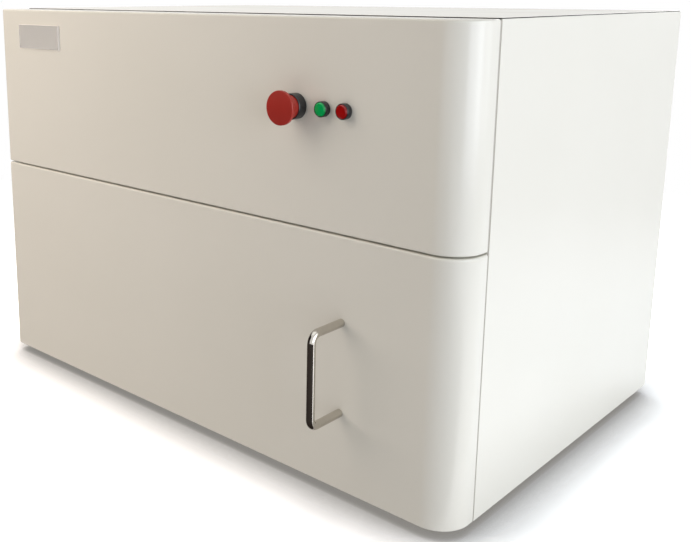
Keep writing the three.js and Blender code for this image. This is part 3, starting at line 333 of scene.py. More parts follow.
# %% Outlines and turnings
def rounded(corners, steps=4):
    """An outline from corners of (x, y, radius), each turned into an arc. A radius may be left out."""
    outline = []
    for i, (x, y, *given) in enumerate(corners):
        radius = given[0] if given else 0
        here = Vector((x, y))
        to_last = Vector(corners[i - 1][:2]) - here
        to_next = Vector(corners[(i + 1) % len(corners)][:2]) - here
        if radius <= 0:
            outline.append((x, y))
            continue
        half = to_last.angle(to_next) / 2
        reach = min(radius / math.tan(half), to_last.length / 2, to_next.length / 2)
        to_last.normalize()
        to_next.normalize()
        centre = here + (to_last + to_next).normalized() * reach / math.cos(half)
        start = here + to_last * reach - centre
        end = here + to_next * reach - centre
        turn = math.atan2(start.x * end.y - start.y * end.x, start.dot(end))
        for step in range(steps + 1):
            point = centre + Matrix.Rotation(turn * step / steps, 2) @ start
            outline.append((point.x, point.y))
    return outline


def bridge(shape, first, second, closed=True):
    """Faces between two rows of vertices, either of which may be a single point."""
    a, b = len(first), len(second)
    count = max(a, b)
    for i in range(count if closed else count - 1):
        j = (i + 1) % count
        corners = [first[i % a], first[j % a], second[j % b], second[i % b]]
        shape.faces.new(list(dict.fromkeys(corners)))


def loft(shape, rows, closed=True, ring=False, ends=False):
    """Faces from each row to the next. A ring also joins the last row to the first, and ends are filled."""
    for first, second in zip(rows, rows[1:]):
        bridge(shape, first, second, closed)
    if ring:
        bridge(shape, rows[-1], rows[0], closed)
    if ends:
        shape.faces.new(rows[0])
        shape.faces.new(rows[-1])


AXES = {
    "x": Matrix(((0, 0, 1), (1, 0, 0), (0, 1, 0))),
    "y": Matrix(((1, 0, 0), (0, 0, 1), (0, -1, 0))),
    "z": Matrix.Identity(3),
}


def lathe(profile, centre, axis="y", sides=64, ring=False):
    """A body turned from (radius, place along the axis) pairs in mm. A ring's profile closes on itself.

    A third value makes that row a hexagon, and its radius is then half the width across flats.
    """
    shape = bmesh.new()
    rows = []
    for radius, along, *six in profile:
        row = []
        for side in range(sides if radius > 0 else 1):
            angle = FULL_TURN * side / sides
            reach = radius / math.cos(angle % SIXTH_TURN - SIXTH_TURN / 2) if six else radius
            point = Vector((reach * MM * math.cos(angle), reach * MM * math.sin(angle), along * MM))
            row.append(shape.verts.new(Vector(centre) + AXES[axis] @ point))
        rows.append(row)
    loft(shape, rows, ring=ring)
    return shape


def turned(corners, centre, axis="y", sides=64, ring=False):
    """A turning whose profile has rounded corners, from (radius, place, round) rows in mm."""
    return lathe(rounded(corners), centre, axis, sides, ring)


def rod(radius, start, end, centre, axis, sides=24):
    """A plain cylinder between two places along an axis, in mm. It also serves as a drill."""
    return lathe([(0, start), (radius, start), (radius, end), (0, end)], centre, axis, sides)


# %% [markdown]
# Places are found from the boxes of the frame's solids. One helper names a spot in such a box by shares
# of its width, depth and height, and others step away from a spot by millimetres. Blocks and extruded
# outlines are the second family of shapes, next to turnings.

# %% Places, blocks and extrusions
def spot(node, x=0.5, y=0.5, z=0.5):
    """A place in a solid's box, each way from 0 at its low end to 1 at its high end."""
    low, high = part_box(node)
    return Vector([a + (b - a) * share for a, b, share in zip(low, high, (x, y, z))])


def placed(origin, *offset):
    """The place that many millimetres from an origin."""
    return tuple(start + step * MM for start, step in zip(origin, offset))


def grid(origin, across=(0,), deep=(0,), up=(0,)):
    """Places round an origin, one for every mix of the offsets in mm."""
    return [placed(origin, *offset) for offset in product(across, deep, up)]


def spread(start, end, count):
    """That many values from start to end, evenly spread."""
    return [start + (end - start) * i / (count - 1) for i in range(count)]


def size_mm(node):
    """The size of a solid's box in millimetres."""
    low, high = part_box(node)
    return (high - low) / MM


def front_outline(low, high, inset=0.0, radius=0.0, steps=4):
    """A box's outline seen from the front, as (x, z) pairs, set in and rounded by so many mm."""
    near = placed((low.x, low.z), inset, inset)
    far = placed((high.x, high.z), -inset, -inset)
    corners = (near, (far[0], near[1]), far, (near[0], far[1]))
    return rounded([(*corner, radius * MM) for corner in corners], steps)


def block(low, high, edge=0.0, steps=3):
    """A box between two corners with edges rounded by so many mm."""
    shape = bmesh.new()
    low = Vector(low)
    high = Vector(high)
    bmesh.ops.create_cube(shape, size=1)
    bmesh.ops.scale(shape, verts=shape.verts, vec=high - low)
    bmesh.ops.translate(shape, verts=shape.verts, vec=(low + high) / 2)
    if edge > 0:
        bmesh.ops.bevel(
            shape, geom=shape.edges[:], offset=edge * MM, segments=steps, profile=0.5, affect="EDGES")
    return shape


def slab(origin, low, high, edge=0.0, steps=3):
    """A block between two offsets from an origin, in mm."""
    return block(placed(origin, *low), placed(origin, *high), edge, steps)


def extruded(outline, start, end, axis="z"):
    """A body of that outline from start to end along an axis."""
    shape = bmesh.new()
    rows = []
    for w in (start, end):
        places = [{"x": (w, u, v), "y": (u, w, v), "z": (u, v, w)}[axis] for u, v in outline]
        rows.append([shape.verts.new(place) for place in places])
    loft(shape, rows, ends=True)
    return shape


# %% [markdown]
# A finished piece often joins several bodies or has others sawn out of it. It then gets its finish, its
# smooth faces and the body of the frame that it rides on, and the solid that a piece takes the place of is
# hidden.

# %% Joining, sawing and finishing
def laid_together(*shapes):
    """Several bodies as one."""
    whole = bmesh.new()
    for shape in shapes:
        scrap = bpy.data.meshes.new("scrap")
        shape.to_mesh(scrap)
        whole.from_mesh(scrap)
        bpy.data.meshes.remove(scrap)
        shape.free()
    return whole


def on_bench(shape):
    """The shape as an object of its own."""
    bmesh.ops.recalc_face_normals(shape, faces=shape.faces)
    mesh = bpy.data.meshes.new("bench")
    shape.to_mesh(mesh)
    shape.free()
    made = bpy.data.objects.new("bench", mesh)
    scene.collection.objects.link(made)
    return made


def sawn(shape, *tools):
    """The shape with the tools cut out of it. The tools stay whole, for the next cut."""
    work = on_bench(shape)
    cutters = [on_bench(tool.copy()) for tool in tools]
    for cutter in cutters:
        cut = work.modifiers.new("cut", "BOOLEAN")
        cut.operation = "DIFFERENCE"
        cut.solver = "EXACT"
        cut.object = cutter
    made = bmesh.new()
    made.from_mesh(bpy.data.meshes.new_from_object(work.evaluated_get(bpy.context.evaluated_depsgraph_get())))
    for used in [work, *cutters]:
        bpy.data.meshes.remove(used.data)
    return made


def make_piece(name, shape, finish, body="case", stands_for=(), edge=0.0):
    """A finished piece, from a shape or a list of them, that rides on a body and may stand for solids."""
    piece = on_bench(laid_together(*shape) if isinstance(shape, list) else shape)
    piece.name = name
    piece.data.name = name
    piece.data.materials.append(finish)
    piece.data.shade_smooth()
    piece.data.set_sharp_from_angle(angle=SMOOTH_ANGLE)
    if edge > 0:
        round_edges(piece, edge)
    weigh_normals(piece)
    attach(piece, body)
    if stands_for:
        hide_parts(*stands_for)
    print("made %s: %d faces" % (name, len(piece.data.polygons)))
    return piece


# %% [markdown]
# The front is two shells folded from 2 mm steel. Each wraps round the right corner in a wide bend and
# turns in at its upper and lower edge, and those small folds catch the light along the seam. A fold is
# a constant section, so the shell is that section swept along the plan of the case.

# %% Section and plan of a folded shell
SHEET = 2 * MM
FOLD_RADIUS = 2.6 * MM
FLANGE = 12 * MM
CORNER_RADIUS = 40 * MM
LEFT_BEND = 6 * MM
SHELL_DEPTH = 50 * MM
LEFT_RETURN = 20 * MM
FOLD_STEPS = 5
CORNER_STEPS = 36


def quarter(centre, radius, start, steps, way=1):
    """Places round a quarter turn from the start angle, each with its way out."""
    places = []
    for step in range(steps + 1):
        angle = start + way * QUARTER_TURN * step / steps
        out = (math.cos(angle), math.sin(angle))
        places.append(((centre[0] + radius * out[0], centre[1] + radius * out[1]), out))
    return places


def fold_section(low, high, inset):
    """The section of the sheet's face, set in from the outside, as (depth, height) pairs."""
    points = [(FLANGE, low + inset)]
    for level, start in ((low + FOLD_RADIUS, -QUARTER_TURN), (high - FOLD_RADIUS, -2 * QUARTER_TURN)):
        bend = quarter((FOLD_RADIUS, level), FOLD_RADIUS - inset, start, FOLD_STEPS, -1)
        points += [place for place, _ in bend]
    return points + [(FLANGE, high - inset)]


def shell_plan(left, right, front, trimmed):
    """Places along the outer face from the left return to the trimmed right one, each with its way out."""
    back = front + SHELL_DEPTH
    return [
        ((left, back), (-1, 0)),
        *quarter((left + LEFT_BEND, front + LEFT_BEND), LEFT_BEND, -2 * QUARTER_TURN, FOLD_STEPS),
        *quarter((right - CORNER_RADIUS, front + CORNER_RADIUS), CORNER_RADIUS, -QUARTER_TURN, CORNER_STEPS),
        ((right, back - trimmed), (1, 0)),
    ]


# %% [markdown]
# The upper shell is closed at the top by a ledge that runs back to the top panel, and the door is open
# behind its flanges. Both are notched at the left rear, where the side panel and the hinges need the room.

# %% Folded shells
LID_STEP = 1.1 * MM
UPPER_SEAM_TRIM = 2 * MM
DOOR_SEAM_TRIM = 0.8 * MM
UPPER_NOTCH = 2.3 * MM
DOOR_NOTCH = 16 * MM
ESTOP_HOLE = 22
BUTTON_HOLE = 16
DRILL_REACH = 6


def folded_shell(node, ledge, trimmed):
    """A closed body of folded sheet in the place of a front shell of the frame."""
    low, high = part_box(node)
    if ledge:
        high.z -= LID_STEP
    shape = bmesh.new()
    faces = [fold_section(low.z, high.z, inset) for inset in (0, SHEET)]
    rows = []
    for (x, y), out in shell_plan(low.x, high.x, low.y, trimmed):
        for face in faces:
            places = [(max(x - out[0] * d, low.x + d), max(y - out[1] * d, low.y + d), h) for d, h in face]
            rows.append([shape.verts.new(place) for place in places])
    outer, inner = rows[0::2], rows[1::2]
    for skin in (outer, inner):
        loft(shape, skin, closed=False)
    for end in (0, -1):
        bridge(shape, outer[end], inner[end], closed=False)
    bridge(shape, [row[0] for row in outer], [row[0] for row in inner], closed=False)
    if ledge:
        shape.faces.new([row[-1] for row in outer])
        shape.faces.new([row[-1] for row in inner])
        shape.faces.new([outer[0][-1], outer[-1][-1], inner[-1][-1], inner[0][-1]])
    else:
        bridge(shape, [row[-1] for row in outer], [row[-1] for row in inner], closed=False)
    return shape


def notch(node, width):
    """The room that a shell leaves at its left rear."""
    low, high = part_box(node)
    near = (low.x - FLANGE, low.y + LEFT_RETURN, low.z - FLANGE)
    return block(near, (low.x + width, low.y + SHELL_DEPTH + FLANGE, high.z + FLANGE))


def hole_for(node, diameter_mm):
    """A drill through the front sheet behind a control."""
    place = (spot(node).x, case_front, spot(node).z)
    return rod(diameter_mm / 2, -DRILL_REACH, DRILL_REACH, place, "y", 48)


upper_shell = sawn(
    folded_shell("upper_front_panel", ledge=True, trimmed=UPPER_SEAM_TRIM),
    notch("upper_front_panel", UPPER_NOTCH),
    hole_for("estop_collar", ESTOP_HOLE),
    hole_for("start_bezel", BUTTON_HOLE),
    hole_for("stop_bezel", BUTTON_HOLE),
)
make_piece("upper_front_shell", upper_shell, powder_coat, "case", ["upper_front_panel"])
door_shell = sawn(
    folded_shell("door_panel", ledge=False, trimmed=DOOR_SEAM_TRIM),
    notch("door_panel", DOOR_NOTCH),
)
make_piece("door_shell", door_shell, powder_coat, "door", ["door_panel"])

# %% [markdown]
# The sides are plain sheets. The right one is folded in behind the shells' edges, which makes the upright
# seam a shallow groove instead of a black slot, and a grey strip of painted shade lies in it. The lid
# stands a millimetre above the sheets round it, and a thin black strip in that joint paints the shadow
# line under its edge.

# %% Side sheets, painted seam shade and painted lid shadow
SEAM_DEPTH = 0.9 * MM
SHADOW_STRIP_WIDTH = 0.9
SHADOW_STRIP_SUNK = 0.25
seam_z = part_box("upper_front_panel")[0].z
# The grey strips laid in the right seam are painted shade, which darkens the groove.
seam_shade_strips = []
for side in ("left", "right"):
    node = side + "_side_panel"
    low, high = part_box(node)
    lid_edge = high.z - LID_STEP
    sheet = [block(low, (high.x, high.y, lid_edge), 0.6, steps=2)]
    folds = [(low.z + MM, seam_z, DOOR_SEAM_TRIM), (seam_z, lid_edge - MM, UPPER_SEAM_TRIM)]
    for z0, z1, trimmed in folds if side == "right" else []:
        groove = high.x - SEAM_DEPTH
        front = low.y - 1.5 * MM - trimmed
        sheet.append(block((low.x - FLANGE, front, z0), (groove, low.y + MM, z1)))
        shade_strip_low = placed((groove, front, z0), -0.1, 0.2, 0)
        seam_shade_strips.append(block(shade_strip_low, placed((groove, low.y, z1), 0.3, -0.1, 0)))
    make_piece(side + "_side_sheet", sheet, powder_coat, "case", [node])
make_piece("painted_seam_shade", seam_shade_strips, seam_shade_grey)

# The thin black strip along the lid's front and sides is painted shadow: it stands for the shadow line of the
# joint.
low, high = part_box("top_panel")
front_left = placed((low.x, low.y, high.z), 0, 0, -SHADOW_STRIP_SUNK)
front_right = placed((high.x, low.y, high.z), 0, 0, -SHADOW_STRIP_SUNK)
lid_shadow_strips = [block(placed(front_left, 0, -1.4, -3), placed(front_right, 0, -0.2, 0))]
for corner, start in ((front_left, -SHADOW_STRIP_WIDTH - 0.1), (front_right, 0.1)):
    rear = placed((corner[0], high.y, corner[2]), start + SHADOW_STRIP_WIDTH, -1, 0)
    lid_shadow_strips.append(block(placed(corner, start, 0, -1), rear))
make_piece("painted_lid_shadow", lid_shadow_strips, moulded_rubber)

# %% [markdown]
# The handle is a bar of stainless steel 10 mm thick, bent twice and polished. It could be a curve with
# a bevel, but a swept mesh gives true round bends and small chamfers where the arms meet the door.

# %% Door handle
HANDLE_BEND = 11 * MM
HANDLE_SIDES = 40
BEND_STEPS = 14
HANDLE_CHAMFER = 0.5 * MM


def handle_path(low, high, radius):
    """Centre points of the bar in depth and height, with the direction at each."""
    reach = low.y + radius
    bottom = low.z + radius
    top = high.z - radius
    path = [((high.y, bottom), (-1, 0)), ((high.y - HANDLE_CHAMFER, bottom), (-1, 0))]
    for level, start in ((bottom + HANDLE_BEND, 0), (top - HANDLE_BEND, 1)):
        for step in range(BEND_STEPS + 1):
            angle = QUARTER_TURN * (step / BEND_STEPS + start)
            away = (math.sin(angle), math.cos(angle))
            place = (reach + HANDLE_BEND - HANDLE_BEND * away[0], level - HANDLE_BEND * away[1])
            path.append((place, (-away[1], away[0])))
    return path + [((high.y - HANDLE_CHAMFER, top), (1, 0)), ((high.y, top), (1, 0))]


low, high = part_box("door_handle")
handle_radius = (high.x - low.x) / 2
handle_x = (high.x + low.x) / 2
path = handle_path(low, high, handle_radius)
handle = bmesh.new()
rows = []
for i, ((y, z), (along_y, along_z)) in enumerate(path):
    radius = handle_radius - (HANDLE_CHAMFER if i in (0, len(path) - 1) else 0)
    row = []
    for side in range(HANDLE_SIDES):
        angle = FULL_TURN * side / HANDLE_SIDES
        x = handle_x + radius * math.cos(angle)
        out = radius * math.sin(angle)
        row.append(handle.verts.new((x, y - out * along_z, z + out * along_y)))
    rows.append(row)
loft(handle, rows, ends=True)
make_piece("door_pull", handle, stainless, "door", ["door_handle"])

# %% [markdown]
# The stop control is a standard 40 mm mushroom on a 30 mm collar. Its head is a low dome that rolls over
# a thick rim and flares back to a neck, all in one turning, so a lathe profile with rounded corners is
# the natural way to make it. The collar's front edge is chamfered and its bore swallows the neck.

# %% Stop mushroom and collar
def turned_piece(name, corners, node, finish, body, sides=72, ring=False):
    """A turning about a front-to-back axis through a node's middle, from (radius, depth, round) in mm."""
    return make_piece(name, turned(corners, spot(node, y=0), "y", sides, ring), finish, body, [node])


turned_piece("stop_mushroom_head", [
    (0, 0), (5, 0.15), (10, 0.55), (14.5, 1.15), (20, 2.1, 1.2), (20, 6.2, 1.3), (18.6, 7.4, 1.5),
    (13.5, 9.2, 3), (13.5, 20.7, 0.3), (6.3, 20.7, 0.2), (6.3, 5.2), (0, 5.2),
], "estop_mushroom", red_plastic, "mushroom_group")
turned_piece("stop_collar", [
    (6.5, 6), (13.9, 6), (13.9, 0.6, 0.3), (14.4, 0, 0.3), (15.2, 1.4, 0.5), (15.2, 12.5, 0.2), (10.7, 12.5),
    (10.7, 36.8, 0.3), (6.5, 36.8, 0.2),
], "estop_collar", black_plastic, "case", ring=True)

# %% [markdown]
# The green and red buttons share one body: a black bezel 18 mm across with a domed lens cap that stands a
# little proud of it. A step inside the bezel leaves a dark line round the cap.

# %% Push buttons
for name, lens, slot in (("start", green_lens, "green_plastic"), ("stop", red_lens, "red_plastic")):
    turned_piece(name + "_button_bezel", [
        (4.8, 6), (8.15, 6), (8.15, 0.3, 0.1), (8.4, 0, 0.1), (9, 0.8, 0.4), (9, 7.5, 0.2), (7.7, 7.5),
        (7.7, 31.8, 0.2), (4.8, 31.8, 0.2),
    ], name + "_bezel", black_plastic, "case", ring=True)
    turned_piece(name + "_button_cap", [
        (0, 0), (3, 0.05), (6.4, 0.35, 0.8), (7.9, 1.7, 0.9), (7.9, 5, 0.2), (4.5, 5), (4.5, 24.3, 0.2),
        (0, 24.3),
    ], name + "_cap", lens, name + "_group")

# %% [markdown]
# The nameplate is left bare. It is a clear block in a ring of frosted sawn edge, and behind it, a hair
# away, lies a film that is a little smaller than the block.

# %% Bare nameplate
FILM_INSET = 0.8
FILM_THICKNESS = 0.2
BLOCK_BACK = 0.25
SAWN_EDGE = 0.6
EDGE_CHAMFER = 0.4

low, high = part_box("nameplate")
clear_high = placed(high, -SAWN_EDGE, -BLOCK_BACK, -SAWN_EDGE)
clear = block(placed(low, SAWN_EDGE, 0, SAWN_EDGE), clear_high, 0.1, steps=1)
cover = make_piece("nameplate_block", clear, clear_acrylic, "case", ["nameplate"])
cover.visible_shadow = False
film_low = placed((low.x, high.y, low.z), FILM_INSET, -FILM_THICKNESS, FILM_INSET)
film = block(film_low, placed(high, -FILM_INSET, 0, -FILM_INSET), 0.05, steps=1)
make_piece("nameplate_film", film, backing_film)
rim = bmesh.new()
loops = []
front, back = low.y, high.y - BLOCK_BACK * MM
corner = front + EDGE_CHAMFER * MM
section = [(0, back), (0, corner), (EDGE_CHAMFER, front), (SAWN_EDGE, front), (SAWN_EDGE, back)]
for inset, y in section:
    loops.append([rim.verts.new((x, y, z)) for x, z in front_outline(low, high, inset)])
loft(rim, loops, ring=True)
sawn_ring = make_piece("nameplate_sawn_edge", rim, sawn_acrylic)
sawn_ring.visible_shadow = False

# %% [markdown]
# Screws hold nearly everything in an instrument, and they are what the eye looks for on a rear panel. Cap
# screws have a hexagon socket, so the lathe cuts their inner rows as hexagons. A set is one piece.

# %% Screws
SCREW_SIDES = 24
REAR_SCREW_INSET = 9 * MM


def cap_screw(place, axis, way, diameter, height):
    """A cap screw's head, sized in mm, that stands on a surface at that place and points along the axis."""
    radius = diameter / 2
    socket = radius / 2
    top = height * way
    profile = [
        (0, top * 0.4), (socket, top * 0.4, True), (socket, top, True), (radius * 0.86, top),
        (radius * 0.97, top * 0.93), (radius, top * 0.75), (radius, 0), (0, 0),
    ]
    return lathe(profile, place, axis, SCREW_SIDES)


def screw_set(name, places, axis, way, diameter, height, finish=nickel_plate, body="case"):
    """Several cap screws as one piece."""
    heads = [cap_screw(place, axis, way, diameter, height) for place in places]
    return make_piece(name, heads, finish, body)


rear_low, rear_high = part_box("rear_panel")
columns = spread(rear_low.x + REAR_SCREW_INSET, rear_high.x - REAR_SCREW_INSET, 6)
lines = spread(rear_low.z + REAR_SCREW_INSET, rear_high.z - REAR_SCREW_INSET, 4)
places = [(x, rear_high.y, z) for x, z in product(columns, lines)
          if x in (columns[0], columns[-1]) or z in (lines[0], lines[-1])]
screw_set("rear_panel_screws", places, "y", 1, 7, 1.8, zinc_plate)

# %% [markdown]
# The feet are rubber cones with a screw sunk in each. The isolators under the optical bench are rubber
# too, moulded between two steel discs with a waist that lets them give.

# %% Feet and isolators
FOOT_SCREW_SUNK = 6
DISC = 2
WAIST_STEPS = 14
for corner in ("front_left", "front_right", "rear_left", "rear_right"):
    node = "foot_" + corner
    centre = spot(node, z=0)
    height = size_mm(node).z
    cone = turned([
        (0, FOOT_SCREW_SUNK), (5, FOOT_SCREW_SUNK), (5, 0, 0.6), (11, 0, 0.3), (11.6, 0.7, 0.2),
        (12.4, 0.7, 0.2), (13, 0, 0.3), (15, 0, 1.6), (18, height, 0.8), (0, height),
    ], centre, "z", 48)
    make_piece("rubber_foot_" + corner, cone, moulded_rubber, "case", [node])
    screw_set("foot_screw_" + corner, [placed(centre, 0, 0, FOOT_SCREW_SUNK)], "z", -1, 7.5, 3.5)

    node = "isolator_" + corner
    centre = spot(node, z=0)
    height = size_mm(node).z
    disc = [(0, 0), (17, 0, 0.4), (17, DISC, 0.4), (0, DISC)]
    discs = [turned(disc, placed(centre, 0, 0, z), "z", 48) for z in (0, height - DISC)]
    make_piece("isolator_discs_" + corner, discs, zinc_plate)
    waist = []
    for share, z in zip(spread(0, 1, WAIST_STEPS + 1), spread(DISC, height - DISC, WAIST_STEPS + 1)):
        waist.append((13 + 3.4 * (1 - math.sin(math.pi * share)), z))
    rubber = lathe([(0, DISC), *waist, (0, height - DISC)], centre, "z", 48)
    make_piece("isolator_rubber_" + corner, rubber, moulded_rubber, "case", [node])

# %% [markdown]
# A bulb seal runs round the chamber's opening. Its section is a D that the door's liner flattens, so it is
# that section carried round a rectangle with rounded corners, one loop for each point of the D.

# %% Door seal
BULB_WIDTH = 8
SEAL_CORNER = 3
low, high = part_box("door_gasket")
depth = size_mm("door_gasket").y
bulb = [(0.6, depth), (0.2, depth - 1.4)]
for angle in spread(0, math.pi, 11)[1:-1]:
    bulb.append((BULB_WIDTH / 2 * (1 - math.cos(angle)), (depth - 1.8) * (1 - math.sin(angle))))
bulb += [(BULB_WIDTH - 0.2, depth - 1.4), (BULB_WIDTH - 0.6, depth)]
seal = bmesh.new()
loops = []
for margin, y in bulb:
    outline = front_outline(low, high, BULB_WIDTH - margin, SEAL_CORNER + margin, 6)
    loops.append([seal.verts.new((x, low.y + y * MM, z)) for x, z in outline])
loft(seal, loops, ring=True)
make_piece("door_bulb_seal", seal, moulded_rubber, "case", ["door_gasket"])

# %% [markdown]
# The hinge pins are turned steel with a chamfered end and a flat head, and the handle is held from inside
# by two cap screws. Small as they are, round pieces get a lathe of their own, so that no facets show.
# Two thin nickel-plated plates stand in the latch magnet and lead its pull to the door.

# %% Hinge pins and fasteners of the door
HANDLE_SCREW_HEAD = 4.5
for level in ("lower", "upper"):
    node = "hinge_pin_" + level
    length = size_mm(node).z
    pin = [(0, 0), (5, 0, 0.5), (5, 2, 0.2), (3, 2), (3, length, 0.7), (0, length)]
    pivot = turned(pin, spot(node, z=0), "z", 32)
    make_piece("hinge_pivot_" + level, pivot, stainless, "case", [node])
    places = grid(spot("hinge_bracket_" + level, x=1, y=1), (-6,), (-3,), (-9, 11))
    screw_set("hinge_plate_screws_" + level, places, "y", -1, 7, 2.6)

    node = "handle_screw_" + level
    length = size_mm(node).y - HANDLE_SCREW_HEAD
    profile = [(0, 0), (2.1, 0), (2.5, 0.4), (2.5, length), (0, length)]
    shank = lathe(profile, spot(node, y=0), "y", SCREW_SIDES)
    head = cap_screw(placed(spot(node, y=0), 0, length, 0), "y", 1, 8.5, HANDLE_SCREW_HEAD)
    make_piece("handle_cap_screw_" + level, [shank, head], nickel_plate, "door", [node])

low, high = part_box("latch_magnet")
poles = []
for x in (low.x + 4 * MM, high.x - 4 * MM):
    pole_low = placed((x, low.y, low.z), -1.2, -0.12, 5)
    poles.append(block(pole_low, placed((x, high.y, high.z), 1.2, -1, -5), 0.2))
make_piece("latch_pole_plates", poles, nickel_plate)

# %% [markdown]
# Behind the panel the stop control has a plunger and a contact block, a two-part moulding whose halves
# meet in a groove, with a clamp screw at each terminal.

# %% Plunger and contact block
GROOVE = 0.5
GROOVE_DEPTH = 8
turned_piece("stop_plunger", [
    (0, 0), (6, 0, 0.8), (6, 43, 0.8), (0, 43),
], "estop_plunger", black_plastic, "plunger_group", sides=40)
low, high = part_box("estop_contact_block")
low_groove = placed((low.x, low.y, low.z), 0, GROOVE_DEPTH, 0)
high_groove = placed((high.x, low.y, high.z), 0, GROOVE_DEPTH, 0)
halves = [
    block(low, placed(high_groove, 0, -GROOVE, 0), 1.2),
    block(placed(low_groove, GROOVE, -2 * GROOVE, GROOVE), placed(high_groove, -GROOVE, 2 * GROOVE, -GROOVE)),
    block(placed(low_groove, 0, GROOVE, 0), high, 1.2),
]
make_piece("contact_block_body", halves, black_plastic, "case", ["estop_contact_block"])
places = grid(spot("estop_contact_block", y=1), (-8, 8), (-0.6,), (-14, 14))
screw_set("contact_block_terminals", places, "y", 1, 5.6, 2.2)

# %% [markdown]
# The optical bench is a thick aluminium slab with threaded holes every 25 mm. Cutting 336 holes with a
# boolean would be slow, so the top is laid like tiles: each tile is a square with its hole already in it.

# %% Optical bench
HOLE_PITCH = 25 * MM
HOLE_DEPTH = 14 * MM
HOLE_SECTION = ((3.7 * MM, 0), (3.1 * MM, 0.6 * MM), (3.1 * MM, HOLE_DEPTH))
HOLE_SIDES = 16


def holed_tile(shape, x, y, top):
    """A square tile round a countersunk blind hole."""
    half = HOLE_PITCH / 2
    rows = [[], [], [], []]
    for i in range(HOLE_SIDES):
        angle = FULL_TURN * (i + 0.5) / HOLE_SIDES
        out = (math.cos(angle), math.sin(angle))
        edge = half / max(abs(out[0]), abs(out[1]))
        for row, (radius, depth) in zip(rows, ((edge, 0), *HOLE_SECTION)):
            row.append(shape.verts.new((x + radius * out[0], y + radius * out[1], top - depth)))
    loft(shape, rows)
    shape.faces.new(rows[-1])
    for i, (a, b) in enumerate(((1, 1), (-1, 1), (-1, -1), (1, -1))):
        corner = shape.verts.new((x + half * a, y + half * b, top))
        shape.faces.new([rows[0][4 * i + 1], corner, rows[0][4 * i + 2]])


low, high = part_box("optical_bench")
columns = int((high.x - low.x) / HOLE_PITCH)
lines = int((high.y - low.y) / HOLE_PITCH)
start_x = (low.x + high.x - (columns - 1) * HOLE_PITCH) / 2
start_y = (low.y + high.y - (lines - 1) * HOLE_PITCH) / 2
tiles = bmesh.new()
for column, line in product(range(columns), range(lines)):
    holed_tile(tiles, start_x + column * HOLE_PITCH, start_y + line * HOLE_PITCH, high.z)
bmesh.ops.remove_doubles(tiles, verts=tiles.verts, dist=0.01 * MM)
core = block(low, (high.x, high.y, high.z - HOLE_DEPTH - MM), 1)
rim_low = low.z + 2 * MM
tiles_y = start_y - HOLE_PITCH / 2
skirt = []
for y0, y1 in ((low.y, tiles_y), (low.y + high.y - tiles_y, high.y)):
    skirt.append(block((low.x, y0, rim_low), (high.x, y1, high.z), 0.5))
for x in (low.x, high.x - 0.4 * MM):
    skirt.append(block((x, low.y + MM, rim_low), placed((x, high.y, high.z), 0.4, -1, -0.02)))
slabs = [tiles, core, *skirt]
make_piece("holed_bench", slabs, milled_aluminium, "case", ["optical_bench"])
print("bench holes:", columns * lines)

# %% [markdown]
# The stage turns the wafer under the laser. Its housing is anodised and split by a groove, so it is built
# as two blocks with a smaller one between, and a round well for the table's hub is sawn out of the top.

# %% Rotary stage
STAGE_SPLIT = 9
low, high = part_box("stage_body")
bore = spot("stage_body", z=1)
housing = [
    block(low, placed((high.x, high.y, low.z), 0, 0, STAGE_SPLIT), 1.5),
    block(placed(low, 1, 1, STAGE_SPLIT - 1), placed((high.x, high.y, low.z), -1, -1, STAGE_SPLIT + 2)),
    sawn(block(placed(low, 0, 0, STAGE_SPLIT + 1), high, 1.5), rod(22, -26.6, 2, bore, "z", 64)),
]
make_piece("stage_housing", housing, black_anodised, "case", ["stage_body"])
places = [(x, low.y, low.z + STAGE_SPLIT / 2 * MM) for x in (low.x + 14 * MM, bore.x, high.x - 14 * MM)]
screw_set("stage_base_screws", places, "y", -1, 5.5, 1.6)
plug = turned([
    (0, 0), (9, 0), (9, 2, 0.4), (6.5, 2), (6.5, 12, 0.6), (5.2, 12), (5.2, 6), (0, 6),
], placed((bore.x, high.y, low.z), 45, -1, 24), "y", 32)
make_piece("stage_connector", plug, nickel_plate)

# %% [markdown]
# The table is a disc turned from aluminium, and its ring grooves are part of the lathe's profile. Three tan
# rests carry the wafer and three steel pins with rounded tips centre it.

# %% Wafer table
PIN_HEIGHT = 7
centre = placed(spot("rotary_table", z=1), 0, 0, -PIN_HEIGHT)
profile = [(0, -5), (4, -5), (4, -0.4), (4.4, 0)]
for groove in (25, 45, 78, 94):
    profile += [(groove - 0.6, 0), (groove - 0.6, -0.8), (groove + 0.6, -0.8), (groove + 0.6, 0)]
profile += [
    (106, 0, 0.6), (106, -4, 0.2), (105.4, -4.6, 0.2), (105.4, -5.6, 0.2), (106, -6.2, 0.2), (106, -10, 0.8),
    (21.4, -10), (21.4, -37, 0.5), (0, -37),
]
disc = turned(profile, centre, "z", 128)
make_piece("wafer_table", disc, milled_aluminium, "table_group", ["rotary_table"])
rests = []
pins = []
rest = [(0, -1), (5, -1), (5, 3), (4.4, 3.6), (3, 3.9), (0, 4)]
pin = [(0, -1), (2.5, -1), (2.5, 5.4), (1.9, 6.4), (1, 6.9), (0, PIN_HEIGHT)]
for i in range(3):
    angle = QUARTER_TURN + FULL_TURN * i / 3
    x, y = math.cos(angle), math.sin(angle)
    rests.append(lathe(rest, placed(centre, 60 * x, 60 * y, 0), "z", 32))
    pins.append(lathe(pin, placed(centre, 102.5 * x, 102.5 * y, 0), "z", 24))
make_piece("wafer_rests", rests, wear_plastic, "table_group")
make_piece("wafer_edge_pins", pins, stainless, "table_group")

# %% [markdown]
# The gantry is built from aluminium extrusion, whose section with a T-slot in each side is known to anyone
# who has built a machine. One quarter of the section is written down and turned four times.

# %% Gantry of slotted extrusion
CAP_THICKNESS = 2.5 * MM


